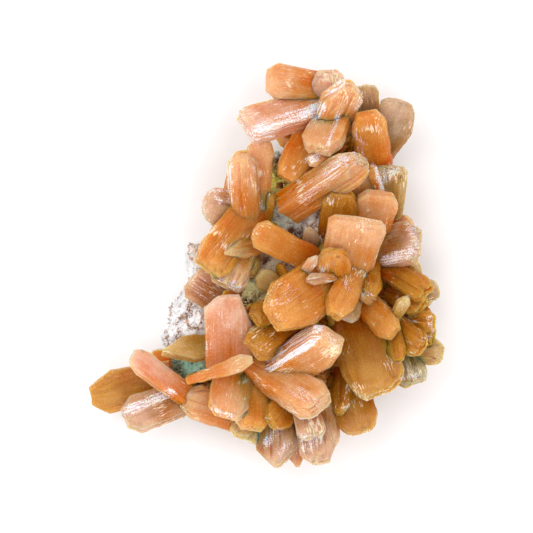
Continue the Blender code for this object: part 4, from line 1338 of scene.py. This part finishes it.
class StilbiteLook(bpy.types.PropertyGroup):
    """Sizes and looks of the stilbite crystals."""

    plate_thickness: size_property("Plate thickness", "Thickness of one plate of a crystal", 0.6, 0.3, 3)
    lath_width: size_property("Lath width", "Usual width of one lath of a plate", 0.95, 0.4, 4)
    step_depth: size_property("Side step", "Most that one plate's edge stands in", 0.28, 0, 1)
    end_step: size_property("End step", "Most that one lath ends short of the tip", 0.7, 0, 3)
    lath_relief: size_property("Lath relief", "Most that one lath lies lower than the next", 0.22, 0, 1)
    break_depth: size_property("Break depth", "How far a broken lath's end steps down", 0.55, 0, 1)
    roof_angle: size_property("Roof angle", "Most that a broad face falls to its sides", 9, 0, 30, "degrees")
    nose_angle: size_property("Nose angle", "Most that a broad face falls to its tip", 15, 0, 45, "degrees")
    pebble_size: size_property("Pebble size", "Size of the lumps on a broad face", 1.3, 0.5, 5)
    pebble_height: size_property("Pebble height", "Height of those lumps", 0.12, 0, 0.5)
    swell_height: size_property("Swell height", "Height of the wide swells of a broad face", 0.18, 0, 1)
    waviness: size_property("Waviness", "Most that a worn edge stands in", 0.45, 0, 2)
    streak_strength: share_property("Streaks", "Strength of the pale growth lines", 0.2)
    glow: share_property("Glow", "Share of light that scatters inside a crystal", 0.9)
    glow_depth: size_property("Glow depth", "How far light travels inside a crystal", 8, 0.1, 20)
    clearness: share_property("Clearness", "Share of light that passes straight through a crystal", 0.09)


class TintLook(bpy.types.PropertyGroup):
    """Colours of the crystals at half their length. A root is deeper, and a tip is paler."""

    peach: colour_property("Peach", "Colour of most crystals", "#CC8641")
    rose: colour_property("Rose", "Colour of the pink crystals", "#CE8A5D")
    tan: colour_property("Tan", "Colour of the dull brownish pink crystals", "#AB7B4C")
    orange: colour_property("Orange", "Colour of the orange crystals", "#C4751D")
    # Amber stands for crystals deep in the gaps: partly their own deeper colour, partly painted shade
    amber: colour_property("Amber", "Colour of the crystals deep in the gaps", "#A4610A")
    tawny: colour_property("Tawny", "Colour of the brownish crystals", "#A86C18")
    honey: colour_property("Honey", "Colour of the yellow crystals", "#A88337")
    olive: colour_property("Olive", "Colour of the greenish crystals", "#8E7B45")
    grey: colour_property("Grey", "Colour of the greyish crystals", "#9D7D4E")


class MordeniteLook(bpy.types.PropertyGroup):
    """Sizes and colour of the rock's coat."""

    felt_colour: colour_property("Felt", "Colour of the coat on the rock's flanks", "#CFC6B0")
    rock_voxel: size_property("Rock fineness", "Spacing of the rock's faces", 0.7, 0.4, 3)
    fibre_length: size_property("Fibre length", "Length of the longest mordenite fibre", 1.2, 0.2, 4)
    fibre_radius: size_property("Fibre radius", "Usual radius of a fibre at its foot", 0.11, 0.02, 0.4)
    grain_size: size_property("Grain size", "Usual length of a grain of the druse", 1.15, 0.2, 3)
    small_crystal_count: count_property("Small crystals", "Places tried for small crystals", 700, 1200)
    grain_count: count_property("Grains", "Number of grains of the druse", 10500, 24000)
    tuft_count: count_property("Tufts", "Number of tufts of fibres", 3700, 5000)
    fibres_per_tuft: count_property("Fibres in a tuft", "Number of fibres in one tuft", 12, 20)


class StageLook(bpy.types.PropertyGroup):
    """Floor, light and camera."""

    floor_colour: colour_property("Floor", "Colour of the floor", "#FAFAFA")
    room_colour: colour_property("Room", "Colour of the light from all sides", "#FBFAFC")
    light_power: number_property("Light", "Share of the softboxes' full power", 0.62, 0, 10)
    room_light: number_property("Room light", "Strength of the light from all sides", 1.06, 0, 5)
    camera_height: number_property("Camera height", "Distance from the camera to the crystals", 1.5, 0.3, 5,
                                   unit="LENGTH")


class SprayOperator:
    """Builds the sprays that a kind of operator lists."""

    sprays = ()

    def execute(self, context):
        for name in self.sprays:
            build_spray(name, context.scene.stilbite_look)
        return {"FINISHED"}


class STILBITE_OT_crown(SprayOperator, bpy.types.Operator):
    """Build the crystals of the narrow crown"""

    bl_idname = "stilbite.crown"
    bl_label = "Crown"
    sprays = ("crown_left_spray", "crown_centre_spray", "crown_right_spray")


class STILBITE_OT_left_side(SprayOperator, bpy.types.Operator):
    """Build the prisms and bundles down the left side"""

    bl_idname = "stilbite.left_side"
    bl_label = "Left side"
    sprays = ("left_prism_spray", "left_bundle", "pink_tablet", "left_tablet_spray", "thin_lath",
              "olive_blade")


class STILBITE_OT_middle(SprayOperator, bpy.types.Operator):
    """Build the large sheaves in the middle and the leaves in the hollows"""

    bl_idname = "stilbite.middle"
    bl_label = "Middle"
    sprays = ("centre_sheaf", "centre_blade", "small_leaf", "pale_leaf", "centre_block_spray",
              "fluted_crystal", "heart_spray", "under_heart_spray", "pearly_crystal", "grey_crystal")


class STILBITE_OT_right_side(SprayOperator, bpy.types.Operator):
    """Build the tablets and fans down the right side"""

    bl_idname = "stilbite.right_side"
    bl_label = "Right side"
    sprays = ("right_upper_spray", "yellow_tablet", "right_fan", "recess_wall", "yellow_prism",
              "lower_right_spray", "bottom_right_tablet")


class STILBITE_OT_spur_and_foot(SprayOperator, bpy.types.Operator):
    """Build the spur at the lower left and the crystals at the foot"""

    bl_idname = "stilbite.spur_and_foot"
    bl_label = "Spur and foot"
    sprays = ("spur_spray", "crossing_blade", "lower_left_tablets", "lower_left_spray", "lower_sheaf",
              "foot_spray")


class STILBITE_OT_flanks(SprayOperator, bpy.types.Operator):
    """Build the crystals on the rock's flanks"""

    bl_idname = "stilbite.flanks"
    bl_label = "Flanks"
    sprays = ("crown_flank_spray", "crown_underside_crystal", "right_flank_spray", "fan_flank_spray",
              "lower_right_flank_spray", "foot_flank_spray", "lower_left_flank_spray", "left_flank_spray")


class STILBITE_OT_rock(bpy.types.Operator):
    """Build the rock with its coat of mordenite"""

    bl_idname = "stilbite.rock"
    bl_label = "Rock"

    def execute(self, context):
        build_rock(context.scene.mordenite_look)
        return {"FINISHED"}


class STILBITE_OT_stage(bpy.types.Operator):
    """Build the floor, the lights and the camera"""

    bl_idname = "stilbite.stage"
    bl_label = "Stage"

    def execute(self, context):
        for build in (build_floor, build_lights, build_camera):
            build(context.scene.stage_look)
        return {"FINISHED"}


OPERATORS = (STILBITE_OT_rock, STILBITE_OT_crown, STILBITE_OT_left_side, STILBITE_OT_middle,
             STILBITE_OT_right_side, STILBITE_OT_spur_and_foot, STILBITE_OT_flanks, STILBITE_OT_stage)
LOOKS = {"stilbite_look": StilbiteLook, "tint_look": TintLook, "mordenite_look": MordeniteLook,
         "stage_look": StageLook}


class STILBITE_PT_panel(bpy.types.Panel):
    """Sizes, colours and the buttons that build the specimen"""

    bl_idname = "STILBITE_PT_panel"
    bl_label = "Stilbite with mordenite"
    bl_space_type = "VIEW_3D"
    bl_region_type = "UI"
    bl_category = "Stilbite"

    def draw(self, context):
        for look, group in LOOKS.items():
            box = self.layout.box()
            for name in group.__annotations__:
                box.prop(getattr(context.scene, look), name)
        for operator in OPERATORS:
            self.layout.operator(operator.bl_idname)


def register():
    for thing in (*LOOKS.values(), *OPERATORS, STILBITE_PT_panel):
        bpy.utils.register_class(thing)
    for look, group in LOOKS.items():
        setattr(bpy.types.Scene, look, PointerProperty(type=group))


def unregister():
    for look in LOOKS:
        delattr(bpy.types.Scene, look)
    for thing in reversed((*LOOKS.values(), *OPERATORS, STILBITE_PT_panel)):
        bpy.utils.unregister_class(thing)


def main():
    """Builds the specimen and its stage."""
    register()
    bpy.ops.stilbite.rock()
    bpy.ops.stilbite.crown()
    bpy.ops.stilbite.left_side()
    bpy.ops.stilbite.middle()
    bpy.ops.stilbite.right_side()
    bpy.ops.stilbite.spur_and_foot()
    bpy.ops.stilbite.flanks()
    bpy.ops.stilbite.stage()


if __name__ == "__main__":
    main()
